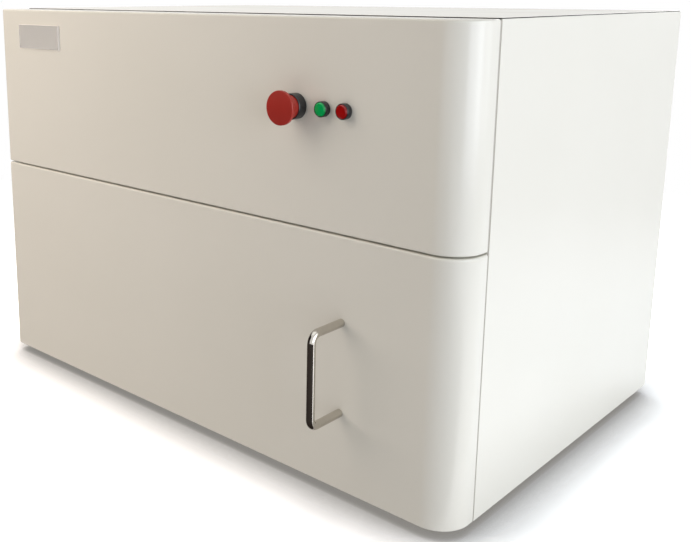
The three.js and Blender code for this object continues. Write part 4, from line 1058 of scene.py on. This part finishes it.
def slotted_section(centre, half, deep, opening=4.1, lip=2.2, wide=8.0):
    """The section of an extrusion with a T-slot in the middle of each side, sized in mm."""
    lower = [
        (half, -half + 1), (half, -opening), (half - lip, -opening), (half - lip, -wide),
        (half - lip - 2, -wide), (half - deep, 3.4 - wide),
    ]
    side = lower + [(u, -v) for u, v in reversed(lower)]
    outline = []
    for turn in range(4):
        turned_to = Matrix.Rotation(QUARTER_TURN * turn, 2)
        outline += [placed(centre, *(turned_to @ Vector(point))) for point in side]
    return outline


for side in ("left", "right"):
    node = "gantry_post_" + side
    low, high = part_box(node)
    outline = slotted_section((spot(node).x, spot(node).y), 20, deep=12)
    post = extruded(outline, low.z, high.z - CAP_THICKNESS)
    make_piece("slotted_post_" + side, post, milled_aluminium, "case", [node], 0.3)
    make_piece("post_cap_" + side, block((low.x, low.y, high.z - CAP_THICKNESS), high, 0.6), black_plastic)
    feet = []
    for x in (low.x - 14 * MM, high.x):
        feet.append(block(placed((x, low.y, low.z), 0, 4, 0), placed((x, high.y, low.z), 14, -4, 5), 0.6))
    make_piece("post_foot_" + side, feet, black_anodised)
    places = [placed((x, spot(node).y, low.z), 7, 0, 5) for x in (low.x - 14 * MM, high.x)]
    screw_set("post_foot_screws_" + side, places, "z", 1, 8.5, 4)

low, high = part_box("gantry_beam")
outline = slotted_section((spot("gantry_beam").y, spot("gantry_beam").z), 15, deep=9.5)
beam = extruded(outline, low.x + CAP_THICKNESS, high.x - CAP_THICKNESS, "x")
make_piece("slotted_beam", beam, milled_aluminium, "case", ["gantry_beam"], 0.3)
caps = []
for x in (low.x, high.x - CAP_THICKNESS):
    caps.append(block((x, low.y, low.z), (x + CAP_THICKNESS, high.y, high.z), 0.6))
make_piece("beam_caps", caps, black_plastic)

# %% [markdown]
# The carriage runs on a profile rail, ground bright, with a ball groove along each edge and a sunk screw
# every 25 mm. The lower half of its section is written down and mirrored.

# %% Rail
RAIL_SCREW_PITCH = 25
low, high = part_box("scan_rail")
edge = ((0, 0.6), (0.6, 0), (2.6, 0), (3.4, 1.1), (4.2, 1.1), (5, 0))
lower = [placed((low.y, low.z), *point) for point in edge] + [(high.y, low.z)]
section = lower + [(y, low.z + high.z - z) for y, z in reversed(lower)]
places = grid(spot("scan_rail", y=0), [(i - 6) * RAIL_SCREW_PITCH for i in range(13)])
sinks = [rod(3.2, -1, 4, place, "y") for place in places]
rail = sawn(extruded(section, low.x, high.x, "x"), *sinks)
make_piece("profile_rail", rail, stainless, "case", ["scan_rail"])
screw_set("rail_screws", [placed(place, 0, 4, 0) for place in places], "y", -1, 5.5, 3, zinc_plate)

# %% [markdown]
# The screw that drives the carriage is real thread, with four starts. A spiral of faces would be hard to
# close, so it is made of rings along the screw whose radius follows the angle and the way along.

# %% Leadscrew
THREAD_LEAD = 10 * MM
THREAD_STARTS = 4
THREAD_DEPTH = 0.9 * MM
THREAD_ROWS_PER_MM = 1.6
SHAFT_END = 12 * MM
low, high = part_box("leadscrew")
screw_y, screw_z = spot("leadscrew").y, spot("leadscrew").z
screw_radius = (high.z - low.z) / 2
thread = bmesh.new()
rows = []
count = int((high.x - low.x) / MM * THREAD_ROWS_PER_MM)
for x in spread(low.x, high.x, count + 1):
    row = []
    for side in range(SCREW_SIDES):
        angle = FULL_TURN * side / SCREW_SIDES
        phase = (x / THREAD_LEAD - angle / FULL_TURN) * THREAD_STARTS % 1
        cut = THREAD_DEPTH * min(1, max(0, 2.4 * abs(phase * 2 - 1) - 0.7))
        radius = screw_radius - (0.2 * MM if x > high.x - SHAFT_END else cut)
        out = (screw_y + radius * math.cos(angle), screw_z + radius * math.sin(angle))
        row.append(thread.verts.new((x, *out)))
    rows.append(row)
loft(thread, rows, ends=True)
make_piece("threaded_screw", thread, stainless, "screw_group", ["leadscrew"])

# %% [markdown]
# A stepper motor is a stack of steel laminations between two cast end caps, held by four long screws.
# A white plug hangs under it. The far end of the screw runs in a ball bearing in a small block.

# %% Motor and bearing
END_CAP = 9 * MM
LAMINATION = 2 * MM
LAMINATION_FACE = 1.7 * MM
CORNER_CUT = 4 * MM
motor_low, motor_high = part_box("scan_motor")
motor = spot("scan_motor")


def eight_sided(inset):
    """The motor's outline in depth and height, set in by so many mm, with its corners cut off."""
    y0, z0 = placed((motor_low.y, motor_low.z), inset, inset)
    y3, z3 = placed((motor_high.y, motor_high.z), -inset, -inset)
    y1, z1, y2, z2 = y0 + CORNER_CUT, z0 + CORNER_CUT, y3 - CORNER_CUT, z3 - CORNER_CUT
    return [(y1, z0), (y2, z0), (y3, z1), (y3, z2), (y2, z3), (y1, z3), (y0, z2), (y0, z1)]


front_of_motor = (motor_high.x, motor.y, motor.z)
shaft_room = rod(5.3, -21.6, 0.4, front_of_motor, "x", 64)
front_cap = sawn(extruded(eight_sided(0), motor_high.x - END_CAP, motor_high.x, "x"), shaft_room)
rear_cap = extruded(eight_sided(0), motor_low.x, motor_low.x + END_CAP, "x")
caps = [front_cap, rear_cap]
make_piece("motor_end_caps", caps, milled_aluminium, "case", ["scan_motor"], 0.5)
stack = []
x = motor_low.x + END_CAP
while x < motor_high.x - END_CAP - 0.1 * MM:
    stack.append(extruded(eight_sided(0.5), x, x + LAMINATION_FACE, "x"))
    stack.append(extruded(eight_sided(0.8), x + LAMINATION_FACE, x + LAMINATION, "x"))
    x += LAMINATION
make_piece("motor_laminations", sawn(laid_together(*stack), shaft_room), chip_epoxy)
places = grid((motor_low.x, motor.y, motor.z), (0,), (-15.5, 15.5), (-15.5, 15.5))
screw_set("motor_screws", places, "x", -1, 5.5, 2, zinc_plate)
plug = slab((motor_low.x, motor.y, motor_low.z), (2, -8, -5), (9, 8, 1), 0.4)
make_piece("motor_plug", plug, natural_nylon)
race = [(5.4, -0.5), (6.4, -0.7), (6.6, -0.3), (8, -0.3), (8.2, -0.7), (9, -0.5), (9, 3), (5.4, 3)]
bearing = lathe(race, (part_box("bearing_block")[0].x, screw_y, screw_z), "x", 48, ring=True)
make_piece("screw_bearing", bearing, nickel_plate)

# %% [markdown]
# The carriage slides with the laser head and the detector. It is a plain milled block, so the frame's own
# solid serves, and only its cap screws and the flanges of its nut are added.

# %% Carriage
low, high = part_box("scan_carriage")
places = grid((0, low.y, high.z), (-38, -13, 13, 38), (0,), (-6,))
screw_set("carriage_screws", places, "y", -1, 7, 3, nickel_plate, "carriage_group")
nuts = []
for end, way in ((low.x, -1), (high.x, 1)):
    flange = [(r, x * way) for r, x in ((5.4, 0), (8, 0), (8.4, 0.4), (8.4, 2), (8, 2.4), (5.4, 2.4))]
    nuts.append(lathe(flange, (end, screw_y, screw_z), "x", 48, ring=True))
make_piece("screw_nut_flanges", nuts, wear_plastic, "carriage_group")

# %% [markdown]
# The laser head is a black anodised body with cooling fins and a snout that ends in a coated lens. Fins
# are flat plates on a narrower core, so a stack of blocks gives them. The snout and the cable gland on
# top are turned.

# %% Laser head
SNOUT = 10 * MM
FIN_PITCH = 4.5 * MM
FIN_COUNT = 11
low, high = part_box("laser_head")
below = spot("laser_head", z=0)
fins_low = high.z - 3 * MM - FIN_PITCH * FIN_COUNT
parts = [
    block((low.x, low.y, low.z + SNOUT), (high.x, high.y, fins_low), 1.2),
    block(placed((low.x, low.y, fins_low), 4, 4, -1), placed(high, -4, 0, 0)),
    block((low.x, low.y, high.z - 3 * MM), high, 0.8),
]
for i in range(1, FIN_COUNT):
    z = fins_low + FIN_PITCH * i
    parts.append(block((low.x, low.y, z - 2 * MM), (high.x, high.y, z), 0.4, steps=2))
parts.append(turned([
    (0, 3), (5, 3), (5, 0.6), (5.6, 0, 0.2), (8, 0, 0.6), (8, 3, 0.3), (7.5, 3.4), (7.5, 4.6), (8, 5, 0.3),
    (8, 10.2), (0, 10.2),
], below, "z", 48))
make_piece("finned_laser_head", parts, black_anodised, "carriage_group", ["laser_head"])
dome = lathe([(0, 1.2), (2, 1.35), (3.6, 1.8), (4.9, 2.6), (4.9, 3.2), (0, 3.2)], below, "z", 48)
make_piece("laser_lens", dome, lens_glass, "carriage_group")
gland = turned([
    (0, 0), (6, 0), (6, 3, 0.4), (5, 3), (5, 8, 1.2), (2.4, 9, 0.4), (2.4, 5), (0, 5),
], spot("laser_head", z=1), "z", 32)
make_piece("laser_cable_gland", gland, black_plastic, "carriage_group")

# %% [markdown]
# The detector is a tube with a screwed front ring, a dark window and a coaxial socket on top, all of them
# turned. A milled saddle holds it to the carriage.

# %% Detector
low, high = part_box("detector")
below = placed(spot("detector", y=0, z=0), 0, 15, 0)
above = (below[0], below[1], high.z)
length = size_mm("detector").z
tube = turned([
    (0, 3), (9, 3), (9, 0.6), (9.6, 0, 0.2), (14, 0, 0.6), (14, 2.5, 0.2), (14.6, 3), (14.6, 9, 0.3),
    (14, 9.4), (14, 10), (15, 10.6, 0.3), (15, length - 12, 0.3), (14.3, length - 11.6),
    (14.3, length - 10.6), (15, length - 10, 0.3), (15, length, 1.2), (0, length),
], below, "z", 72)
make_piece("detector_tube", tube, black_anodised, "carriage_group", ["detector"])
make_piece("detector_window", rod(8.9, 1.5, 3.2, below, "z", 48), lens_glass, "carriage_group")
saddle = block(placed(above, -10, 5, -35), placed((above[0], high.y, high.z), 10, 0, -7), 0.8)
make_piece("detector_saddle", saddle, milled_aluminium, "carriage_group")
coax = turned([
    (0, 0), (7, 0), (7, 2, 0.3), (4.8, 2), (4.8, 10, 0.5), (3.8, 10), (3.8, 5), (1, 5), (1, 8), (0, 8),
], above, "z", 32)
make_piece("detector_coax_socket", coax, nickel_plate, "carriage_group")

# %% [markdown]
# The power supply is a folded case with rows of slots over its heat, and at one end its cover is cut back
# to leave the terminal strip open. The slots are cut by a boolean, because there are few of them.

# %% Power supply
TERMINAL_ROOM = 20
COVER_LOW = 16
TERMINALS = 9
SLOT_SIZE = (5, 24, 1)
low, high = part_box("power_supply")
cuts = [block(placed((high.x, low.y, low.z), -TERMINAL_ROOM, 2, COVER_LOW), placed(high, 1, -2, 1))]
for place in grid((low.x, low.y, high.z), [18 + 14 * i for i in range(12)], (14, 46, 78)):
    cuts.append(slab(place, (0, 0, -2), SLOT_SIZE, 0.8, steps=2))
cover = sawn(block(low, high, 1.2), *cuts)
make_piece("supply_case", cover, zinc_plate, "case", ["power_supply"])
strip_low = Vector(placed((high.x, low.y, low.z), 1 - TERMINAL_ROOM, 8, COVER_LOW))
strip_high = Vector(placed((high.x, high.y, low.z), -2, -8, COVER_LOW + 9))
walls = [block(strip_low, strip_high, 0.5)]
pitch = (strip_high.y - strip_low.y) / TERMINALS
for i in range(TERMINALS + 1):
    y = min(strip_low.y + pitch * i, strip_high.y - 1.2 * MM)
    wall_low = (strip_low.x, y, strip_low.z)
    walls.append(block(wall_low, placed((strip_high.x, y, strip_high.z), 0, 1.2, 6), 0.3, steps=1))
make_piece("supply_terminal_strip", walls, black_plastic)
strip_x = (strip_low.x + strip_high.x) / 2
places = [(strip_x, strip_low.y + pitch * (i + 0.56), strip_high.z) for i in range(TERMINALS)]
screw_set("supply_terminal_screws", places, "z", 1, 7, 2.4)

# %% [markdown]
# A control board reads as real when it carries many small parts in rows. The board itself is glass
# laminate 1.6 mm thick on four hexagon posts, and its parts are then set out in loops, kind by kind.

# %% Board and posts
POST_HEIGHT = 10
LAMINATE = 1.6
low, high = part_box("control_board")
top = placed(spot("control_board", z=0), 0, 0, POST_HEIGHT + LAMINATE)
board_low = low.z + POST_HEIGHT * MM
plate = block((low.x, low.y, board_low), (high.x, high.y, top[2]), 0.2, steps=1)
make_piece("laminate_board", plate, solder_resist, "case", ["control_board"])
posts = []
for x, y in product((low.x + 8 * MM, high.x - 8 * MM), (low.y + 8 * MM, high.y - 8 * MM)):
    hexagon = [(0, 0), (2.75, 0, True), (2.75, POST_HEIGHT, True), (0, POST_HEIGHT)]
    posts.append(lathe(hexagon, (x, y, low.z), "z", 24))
    posts.append(cap_screw((x, y, top[2]), "z", 1, 5.5, 2.2))
make_piece("board_standoffs", posts, nickel_plate)

# %% [markdown]
# One large chip and eight small ones lie in black epoxy. Each leg is a strip that passes under its chip, so
# one block makes a pair of legs.

# %% Chips
chips = [slab(top, (-72, 0, 0.2), (-36, 36, 4), 0.4)]
legs = []
for place in grid(top, (-96, -70, -44, -18), (-62, -36)):
    chips.append(slab(place, (0, 0, 0.3), (14, 8, 2.6), 0.25, steps=1))
    for x in spread(0.65, 12.65, 7):
        legs.append(slab(place, (x, -1.6, 0), (x + 0.7, 9.6, 0.5)))
for leg in range(17):
    x = -71.2 + 2.1 * leg
    legs.append(slab(top, (x, -1.6, 0), (x + 0.9, 37.6, 0.5)))
make_piece("board_chips", chips, chip_epoxy)
make_piece("board_chip_legs", legs, nickel_plate)

# %% [markdown]
# The heat sink is a black anodised comb. The plugs are trays of natural nylon with one high wall, and each
# holds a row of twelve square pins.

# %% Heat sink and plugs
SINK_WIDTH = 46
FINS = 9
sink = placed(top, 18, 0, 0)
fins = [slab(sink, (0, -23, 0), (SINK_WIDTH - SINK_WIDTH / FINS + 2, 23, 5), 0.3)]
for i in range(FINS):
    x = SINK_WIDTH / FINS * i
    fins.append(slab(sink, (x, -23, 1), (x + 2, 23, 22), 0.3, steps=1))
make_piece("board_heat_sink", fins, black_anodised)

plugs = []
plug_pins = []
for place in grid((top[0], high.y, top[2]), (-90, 30), (-20,)):
    for y0, y1, z in ((0, 2, 11), (0, 10, 3), (8.6, 10, 8)):
        plugs.append(slab(place, (0, y0, 0), (60, y1, z), 0.3, steps=1))
    for i in range(12):
        x = 2.5 + 5 * i
        plug_pins.append(slab(place, (x - 0.5, 4.8, 1), (x + 0.5, 5.8, 9), 0.15, steps=1))
make_piece("board_plugs", plugs, natural_nylon)
make_piece("board_plug_pins", plug_pins, nickel_plate)

# %% [markdown]
# Capacitors are cans in a shrunk sleeve, with a crimp near the foot that makes them easy to know. The chip
# resistors fill a grid with a few places left empty, as on a board made in several versions.

# %% Capacitors and chip resistors
cans = []
sleeves = []
for place in grid(top, (78, 94), (-58, -40, 34)):
    sleeves.append(turned([
        (0, 0), (5, 0, 0.3), (5, 1.6, 0.3), (4.7, 2, 0.3), (5, 2.4, 0.3), (5, 15.8, 0.6), (4.2, 16),
        (0, 15.6),
    ], place, "z", 32))
    cans.append(rod(4.1, 15, 16.1, place, "z", 32))
make_piece("board_capacitor_sleeves", sleeves, black_plastic)
make_piece("board_capacitor_tops", cans, nickel_plate)
small = []
for i, j in product(range(14), range(3)):
    if (i * 5 + j * 3) % 7:
        x, y = 4.2 * i - 24, 5.4 * j + 38
        small.append(slab(top, (x, y, 0), (x + 2, y + 3.2, 0.9), 0.15, steps=1))
make_piece("board_chip_resistors", small, wear_plastic)

# %% [markdown]
# The fan draws air out at the rear. Its housing is a square moulding with rounded corners, and the tunnel
# and the four screw holes are sawn out of it. Crossed struts carry the motor in the middle.

# %% Fan housing
low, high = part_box("fan_frame")
fan = spot("fan_frame", y=0)
tunnel = rod(38.5, -2, 27, fan, "y", 96)
fan_corners = grid(fan, (-35.75, 35.75), (0,), (-35.75, 35.75))
holes = [rod(2.1, -1, 26, place, "y") for place in fan_corners]
parts = [
    sawn(extruded(front_outline(low, high, 0, 4, 6), low.y, high.y, "y"), tunnel, *holes),
    turned([(0, 0), (15, 0, 0.8), (15, 5), (0, 5)], fan, "y", 48),
    slab(fan, (-39, 1.25, -2), (39, 3.75, 2), 0.5),
    slab(fan, (-2, 1.25, -39), (2, 3.75, 39), 0.5),
]
make_piece("fan_shroud", parts, black_plastic, "case", ["fan_frame"])

# %% [markdown]
# The rotor has seven swept blades, each a twisted sheet: the chord turns and leans as it goes outward. So
# a blade is made of two skins of stations from root to tip, joined round their border.

# %% Fan rotor
BLADES = 7
STATIONS = 8
CHORD_STEPS = 6
HUB_RADIUS = 16
BLADE_ROOT = 15
BLADE_TIP = 36.8


def fan_blade(centre, start):
    """A twisted sheet from the hub outward, set off at the start angle."""
    shape = bmesh.new()
    skins = []
    for skin in (-0.55, 0.55):
        rows = []
        for share in spread(0, 1, STATIONS + 1):
            radius = BLADE_ROOT + (BLADE_TIP - BLADE_ROOT) * share
            row = []
            for part in spread(0, 1, CHORD_STEPS + 1):
                chord = math.radians(44 - 8 * share) * (part - 0.5)
                angle = start + math.radians(26) * share ** 1.5 + chord
                depth = 2.2 + 13.6 * (part - 0.18 * math.sin(math.pi * part)) + skin
                place = placed(centre, radius * math.cos(angle), depth, radius * math.sin(angle))
                row.append(shape.verts.new(place))
            rows.append(row)
        loft(shape, rows, closed=False)
        tips = [row[-1] for row in rows[1:-1]]
        skins.append(rows[0] + tips + rows[-1][::-1] + [row[0] for row in rows[-2:0:-1]])
    bridge(shape, *skins)
    return shape


hub = (fan.x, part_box("fan_rotor")[0].y, fan.z)
parts = [turned([(0, 0), (HUB_RADIUS, 0, 0.5), (HUB_RADIUS, 18, 1.5), (0, 18)], hub, "y", 64)]
parts += [fan_blade(hub, FULL_TURN * i / BLADES) for i in range(BLADES)]
make_piece("swept_fan_rotor", parts, black_plastic, "fan_group", ["fan_rotor"])

# %% [markdown]
# The guard is bent from round steel wire. Its rings are turnings whose profile is a small circle, and four
# straight bars run outward from the middle to join them.

# %% Fan guard
THIN_WIRE = 0.95
BAR_REACH = 47.2 * MM


def wire_ring(centre, radius, thickness):
    """An upright ring bent from round wire, from radii in mm."""
    turns = [FULL_TURN * i / 12 for i in range(12)]
    profile = [(radius + thickness * math.cos(a), thickness * math.sin(a)) for a in turns]
    return lathe(profile, centre, "y", 64, ring=True)


guard = Vector((fan.x, spot("fan_guard").y, fan.z))
parts = [wire_ring(guard, 10.25 + 9 * i, size_mm("fan_guard").y / 2) for i in range(4)]
parts += [wire_ring((x, guard.y, z), 3.4, THIN_WIRE) for x, _, z in fan_corners]
for turn in (1, 3, 5, 7):
    away = Vector((math.cos(turn * FULL_TURN / 8), 0, math.sin(turn * FULL_TURN / 8)))
    sideways = Vector((-away.z, 0, away.x))
    bar = bmesh.new()
    rows = []
    for reach in (0, BAR_REACH):
        row = []
        for angle in [FULL_TURN * i / 12 for i in range(12)]:
            around = sideways * math.cos(angle) + Vector((0, math.sin(angle), 0))
            row.append(bar.verts.new(guard + away * reach + around * THIN_WIRE * MM))
        rows.append(row)
    loft(bar, rows, ends=True)
    parts.append(bar)
make_piece("wire_fan_guard", parts, stainless, "case", ["fan_guard"])
places = [(x, rear_high.y + 0.3 * MM, z) for x, _, z in fan_corners]
screw_set("fan_screws", places, "y", 1, 6.4, 2.4)

# %% [markdown]
# The mains inlet is a moulding with a switch above a three-pin socket. The socket's upper corners are cut
# off, as the plug's are, and the pins are nickel-plated blades. Both openings are sawn out of the housing.

# %% Mains inlet
low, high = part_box("power_inlet")
face = spot("power_inlet", y=1)
socket = placed(face, 0, 0, -13)
well = (face.x, face.y, spot("rocker_switch").z)
mouth = []
for corner in ((-12.5, -8.5), (12.5, -8.5), (12.5, 4), (8, 8.5), (-8, 8.5), (-12.5, 4)):
    mouth.append(placed((socket[0], socket[2]), *corner))
cuts = [
    extruded(mouth, face.y - 17 * MM, face.y + MM, "y"),
    slab(well, (-13.6, -11, -6.4), (13.6, 1, 6.4)),
]
flange = extruded(front_outline(low, high, 0, 3, 5), face.y - 3 * MM, face.y, "y")
back = block(placed(low, 4, 0, 4), placed(high, -4, -1.5, -4))
housing = [sawn(flange, *cuts), sawn(back, *cuts)]
make_piece("inlet_housing", housing, black_plastic, "case", ["power_inlet"], 0.4)
pins = []
for x, z in ((-7, -1), (0, 1), (7, -1)):
    pins.append(slab(socket, (x - 1, -20, z - 2), (x + 1, -4, z + 2), 0.5))
make_piece("inlet_pins", pins, nickel_plate)
screw_set("inlet_screws", grid(face, (-20, 20), (-0.4,), (1.5,)), "y", 1, 6, 1.7)

# %% [markdown]
# The rocker's face is dished, so its section is drawn once and extruded. It carries the usual I and O
# marks, and all of it is turned about the pivot to the tilt that it rests at.

# %% Rocker
ROCKER_TILT = math.radians(10)
rocker = spot("rocker_switch")


def tilted(shape):
    """Turns a shape about the rocker's pivot to its resting tilt."""
    bmesh.ops.rotate(shape, verts=shape.verts, cent=rocker, matrix=Matrix.Rotation(ROCKER_TILT, 3, "Z"))
    return shape


outline = [(-12, -3.5), (12, -3.5)]
for x in spread(12, -12, 17):
    outline.append((x, 3.5 - 1.8 * math.cos(QUARTER_TURN * x / 12) ** 1.5))
outline = [placed((rocker.x, rocker.y), *point) for point in outline]
key = tilted(extruded(outline, rocker.z - 6 * MM, rocker.z + 6 * MM))
make_piece("rocker_key", key, black_plastic, "rocker_group", ["rocker_switch"], 0.4)
stroke = slab(rocker, (-8.2, 2, -2), (-7.4, 2.86, 2))
ring = lathe([(1.4, 0), (2.1, 0), (2.1, 0.86), (1.4, 0.86)], placed(rocker, 7.8, 2, 0), "y", 32, ring=True)
make_piece("rocker_marks", tilted(laid_together(stroke, ring)), marking_white, "rocker_group")

# %% [markdown]
# The data port is a plated shell with a black insert and eight sprung contacts that lie side by side.

# %% Data port
port = spot("data_port", y=1)
insert = [slab(port, near, far) for near, far in (
    ((-6, -12, -5.5), (6, -1, -4.3)),
    ((-6, -12, -5.5), (-5, -1, 5.5)),
    ((5, -12, -5.5), (6, -1, 5.5)),
    ((-6, -12, 4.3), (6, -1, 5.5)),
    ((-6, -12, -5.5), (6, -10.5, 5.5)),
)]
make_piece("data_port_insert", insert, black_plastic)
contacts = [slab(port, (x - 0.25, -10.5, 2.4), (x + 0.25, -2.5, 3)) for x in spread(-3.85, 3.85, 8)]
make_piece("data_port_contacts", contacts, nickel_plate)
screw_set("data_port_screws", grid(port, (-12.5, 12.5)), "y", 1, 5, 1.5)

# %% [markdown]
# The object stands on a plain pale floor in a bright room. Near the object the floor is lit like anything
# else and keeps the shadow. The shadow is deepened close to the contact and its darkest part is lifted to
# grey, as the photograph has it. Further off the floor turns plain white. Only the camera, mirrors and
# glass see this white, so the light that falls on the object stays plain.

# %% Floor
FLOOR_HALF = 12.0
CONTACT_REACH = 0.115
SHADE_DEPTH = 2.5
SHADE_LIFT = 0.25
OPEN_FLOOR = (0.9, 1.8)
FLOOR_BALANCE = (2.28, 2.32, 2.38)


def seen_directly(tree):
    """1 for rays from the camera, mirrors and glass, 0 for the light that falls on things."""
    path = add(tree, "ShaderNodeLightPath").outputs
    either = {0: path["Is Camera Ray"], 1: path["Is Glossy Ray"]}
    mirror = add(tree, "ShaderNodeMath", either, operation="MAXIMUM").outputs[0]
    either = {0: mirror, 1: path["Is Transmission Ray"]}
    return add(tree, "ShaderNodeMath", either, operation="MAXIMUM").outputs[0]


def sheet_of_floor(name, low, high, height=0.0):
    """A flat stage piece between two corners."""
    shape = bmesh.new()
    places = [(low[0], low[1]), (high[0], low[1]), (high[0], high[1]), (low[0], high[1])]
    shape.faces.new([shape.verts.new((x, y, height)) for x, y in places])
    made = on_bench(shape)
    made.name = name
    return made


floor = sheet_of_floor("studio_floor", (-FLOOR_HALF, -FLOOR_HALF), (FLOOR_HALF, FLOOR_HALF))
floor_finish = bpy.data.materials.new("pale_studio_floor")
floor_finish.use_nodes = True
tree = floor_finish.node_tree
tree.nodes.clear()
seen = seen_directly(tree)
# The occlusion term paints a contact shadow into the floor's colour near the object, and the glow paints
# light into the darkest part of that shadow.
contact = add(tree, "ShaderNodeAmbientOcclusion", {"Distance": CONTACT_REACH}, samples=16).outputs["AO"]
shade = add(tree, "ShaderNodeMath", {0: contact, 1: SHADE_DEPTH}, operation="POWER").outputs[0]
level = add(tree, "ShaderNodeVectorMath", {0: FLOOR_BALANCE, "Scale": shade}, operation="SCALE").outputs[0]
near_colour = add(tree, "ShaderNodeMix", {0: seen, 6: linear("#D8D8DA"), 7: level}, data_type="RGBA")
lit = add(tree, "ShaderNodeBsdfDiffuse", {"Color": near_colour.outputs[2]}).outputs[0]
hidden = add(tree, "ShaderNodeMapRange", {"Value": shade, "To Min": SHADE_LIFT, "To Max": 0.0}).outputs[0]
glow = add(tree, "ShaderNodeMath", {0: hidden, 1: seen}, operation="MULTIPLY").outputs[0]
lift = add(tree, "ShaderNodeEmission", {"Color": linear("#FFFAF2"), "Strength": glow}).outputs[0]
near = add(tree, "ShaderNodeAddShader", {0: lit, 1: lift}).outputs[0]
white = add(tree, "ShaderNodeEmission", {"Color": linear("#FFFFFF")}).outputs[0]
place = add(tree, "ShaderNodeTexCoord").outputs["Object"]
away = add(tree, "ShaderNodeVectorMath", {0: place}, operation="LENGTH").outputs["Value"]
far = add(tree, "ShaderNodeMapRange", {"Value": away, "From Min": OPEN_FLOOR[0], "From Max": OPEN_FLOOR[1]})
open_floor = add(tree, "ShaderNodeMath", {0: far.outputs[0], 1: seen}, operation="MULTIPLY").outputs[0]
surface = add(tree, "ShaderNodeMixShader", {0: open_floor, 1: near, 2: white}).outputs[0]
add(tree, "ShaderNodeOutputMaterial", {"Surface": surface})
floor.data.materials.append(floor_finish)
print("floor: %d nodes, open from %.1f m" % (len(tree.nodes), OPEN_FLOOR[0]))

# %% [markdown]
# The air of the room is plain white where it is seen and weak where it lights, so that the lamps shape the
# object and not the background.

# %% Background
AIR_STRENGTH = 0.17
air = bpy.data.worlds.new("bright_room")
air.use_nodes = True
scene.world = air
tree = air.node_tree
room = add(tree, "ShaderNodeBackground", {"Color": linear("#FFFFFD"), "Strength": AIR_STRENGTH}).outputs[0]
white = add(tree, "ShaderNodeBackground", {"Color": linear("#FFFFFF"), "Strength": 1.0}).outputs[0]
both = add(tree, "ShaderNodeMixShader", {0: seen_directly(tree), 1: room, 2: white})
tree.links.new(both.outputs[0], tree.nodes["World Output"].inputs["Surface"])
print("air strength", AIR_STRENGTH)

# %% [markdown]
# Polished metal and plastic only show their form and colour when they have something dark to mirror. So a
# wide dark card covers the floor before the door and a dark curtain stands in an arc behind the camera, as
# photographers do it. Reflections see them, and the camera and the lamps don't.

# %% Dark card and curtain for the reflections
CURTAIN_RADIUS = 2.8
CURTAIN_HEIGHT = 3.0
CURTAIN_FROM = math.radians(-176)
CURTAIN_TO = math.radians(-96)
CURTAIN_STEPS = 30
CARD_GAP = 0.02
card = sheet_of_floor("dark_card", (-2.4, -2.75), (1.1, case_front - CARD_GAP), 0.001)
cloth = bmesh.new()
rows = []
for height in (0, CURTAIN_HEIGHT):
    row = []
    for angle in spread(CURTAIN_FROM, CURTAIN_TO, CURTAIN_STEPS + 1):
        place = (CURTAIN_RADIUS * math.cos(angle), CURTAIN_RADIUS * math.sin(angle), height)
        row.append(cloth.verts.new(place))
    rows.append(row)
bridge(cloth, *rows, closed=False)
curtain = on_bench(cloth)
curtain.name = "dark_curtain"
dark_cloth = new_finish("brown_cloth", "#2C211B", 0.9, ("#1F1815", grain(60)))
for dark in (card, curtain):
    dark.data.materials.append(dark_cloth)
    dark.visible_camera = False
    dark.visible_diffuse = False
    dark.visible_shadow = False
print("card and curtain in brown cloth")

# %% [markdown]
# The photograph's light comes mostly from the right, cool as from windows, and leaves the front in a soft
# warm shade that is lighter towards the left. Two large soft lamps stand on the right, one to the side and
# one further front. A warm one near the left front corner fills the shade, and polished faces don't mirror
# it, or they would turn milky. A wide one overhead and one behind light the top and the rear panel.

# %% Studio lamps
def soft_lamp(name, place, target, size, power, colour):
    """A rectangular lamp that faces the target."""
    lamp = bpy.data.lights.new(name, "AREA")
    lamp.shape = "RECTANGLE"
    lamp.size, lamp.size_y = size
    lamp.energy = power
    lamp.color = linear(colour)[:3]
    holder = bpy.data.objects.new(name, lamp)
    scene.collection.objects.link(holder)
    holder.location = place
    holder.rotation_mode = "QUATERNION"
    holder.rotation_quaternion = (Vector(target) - Vector(place)).to_track_quat("-Z", "Y")
    holder.visible_camera = False
    print("lamp %s: %.1f W" % (name, power))
    return holder


CASE_MIDDLE = (0, 0, 0.3)
soft_lamp("window_light", (2.4, 0.45, 0.8), CASE_MIDDLE, (2.0, 1.5), 16.3, "#F9FBFF")
soft_lamp("right_front_light", (2.4, -0.58, 0.7), CASE_MIDDLE, (1.7, 1.4), 25.0, "#F1F5FF")
left_fill = soft_lamp("left_fill", (-0.85, -0.9, 1.12), (-0.4, -0.3, 0.35), (1.5, 1.5), 17.0, "#FFF1E7")
left_fill.visible_glossy = False
soft_lamp("ceiling_light", (0, -0.2, 3.2), CASE_MIDDLE, (3.0, 3.0), 12, "#F6FFFA")
soft_lamp("rear_fill", (0.3, 2.6, 1.2), CASE_MIDDLE, (1.4, 1.4), 18, "#FFFFFF")

# %% [markdown]
# The colours are picked to come out as written, which needs the plain Standard view.

# %% View transform
scene.view_settings.view_transform = "Standard"
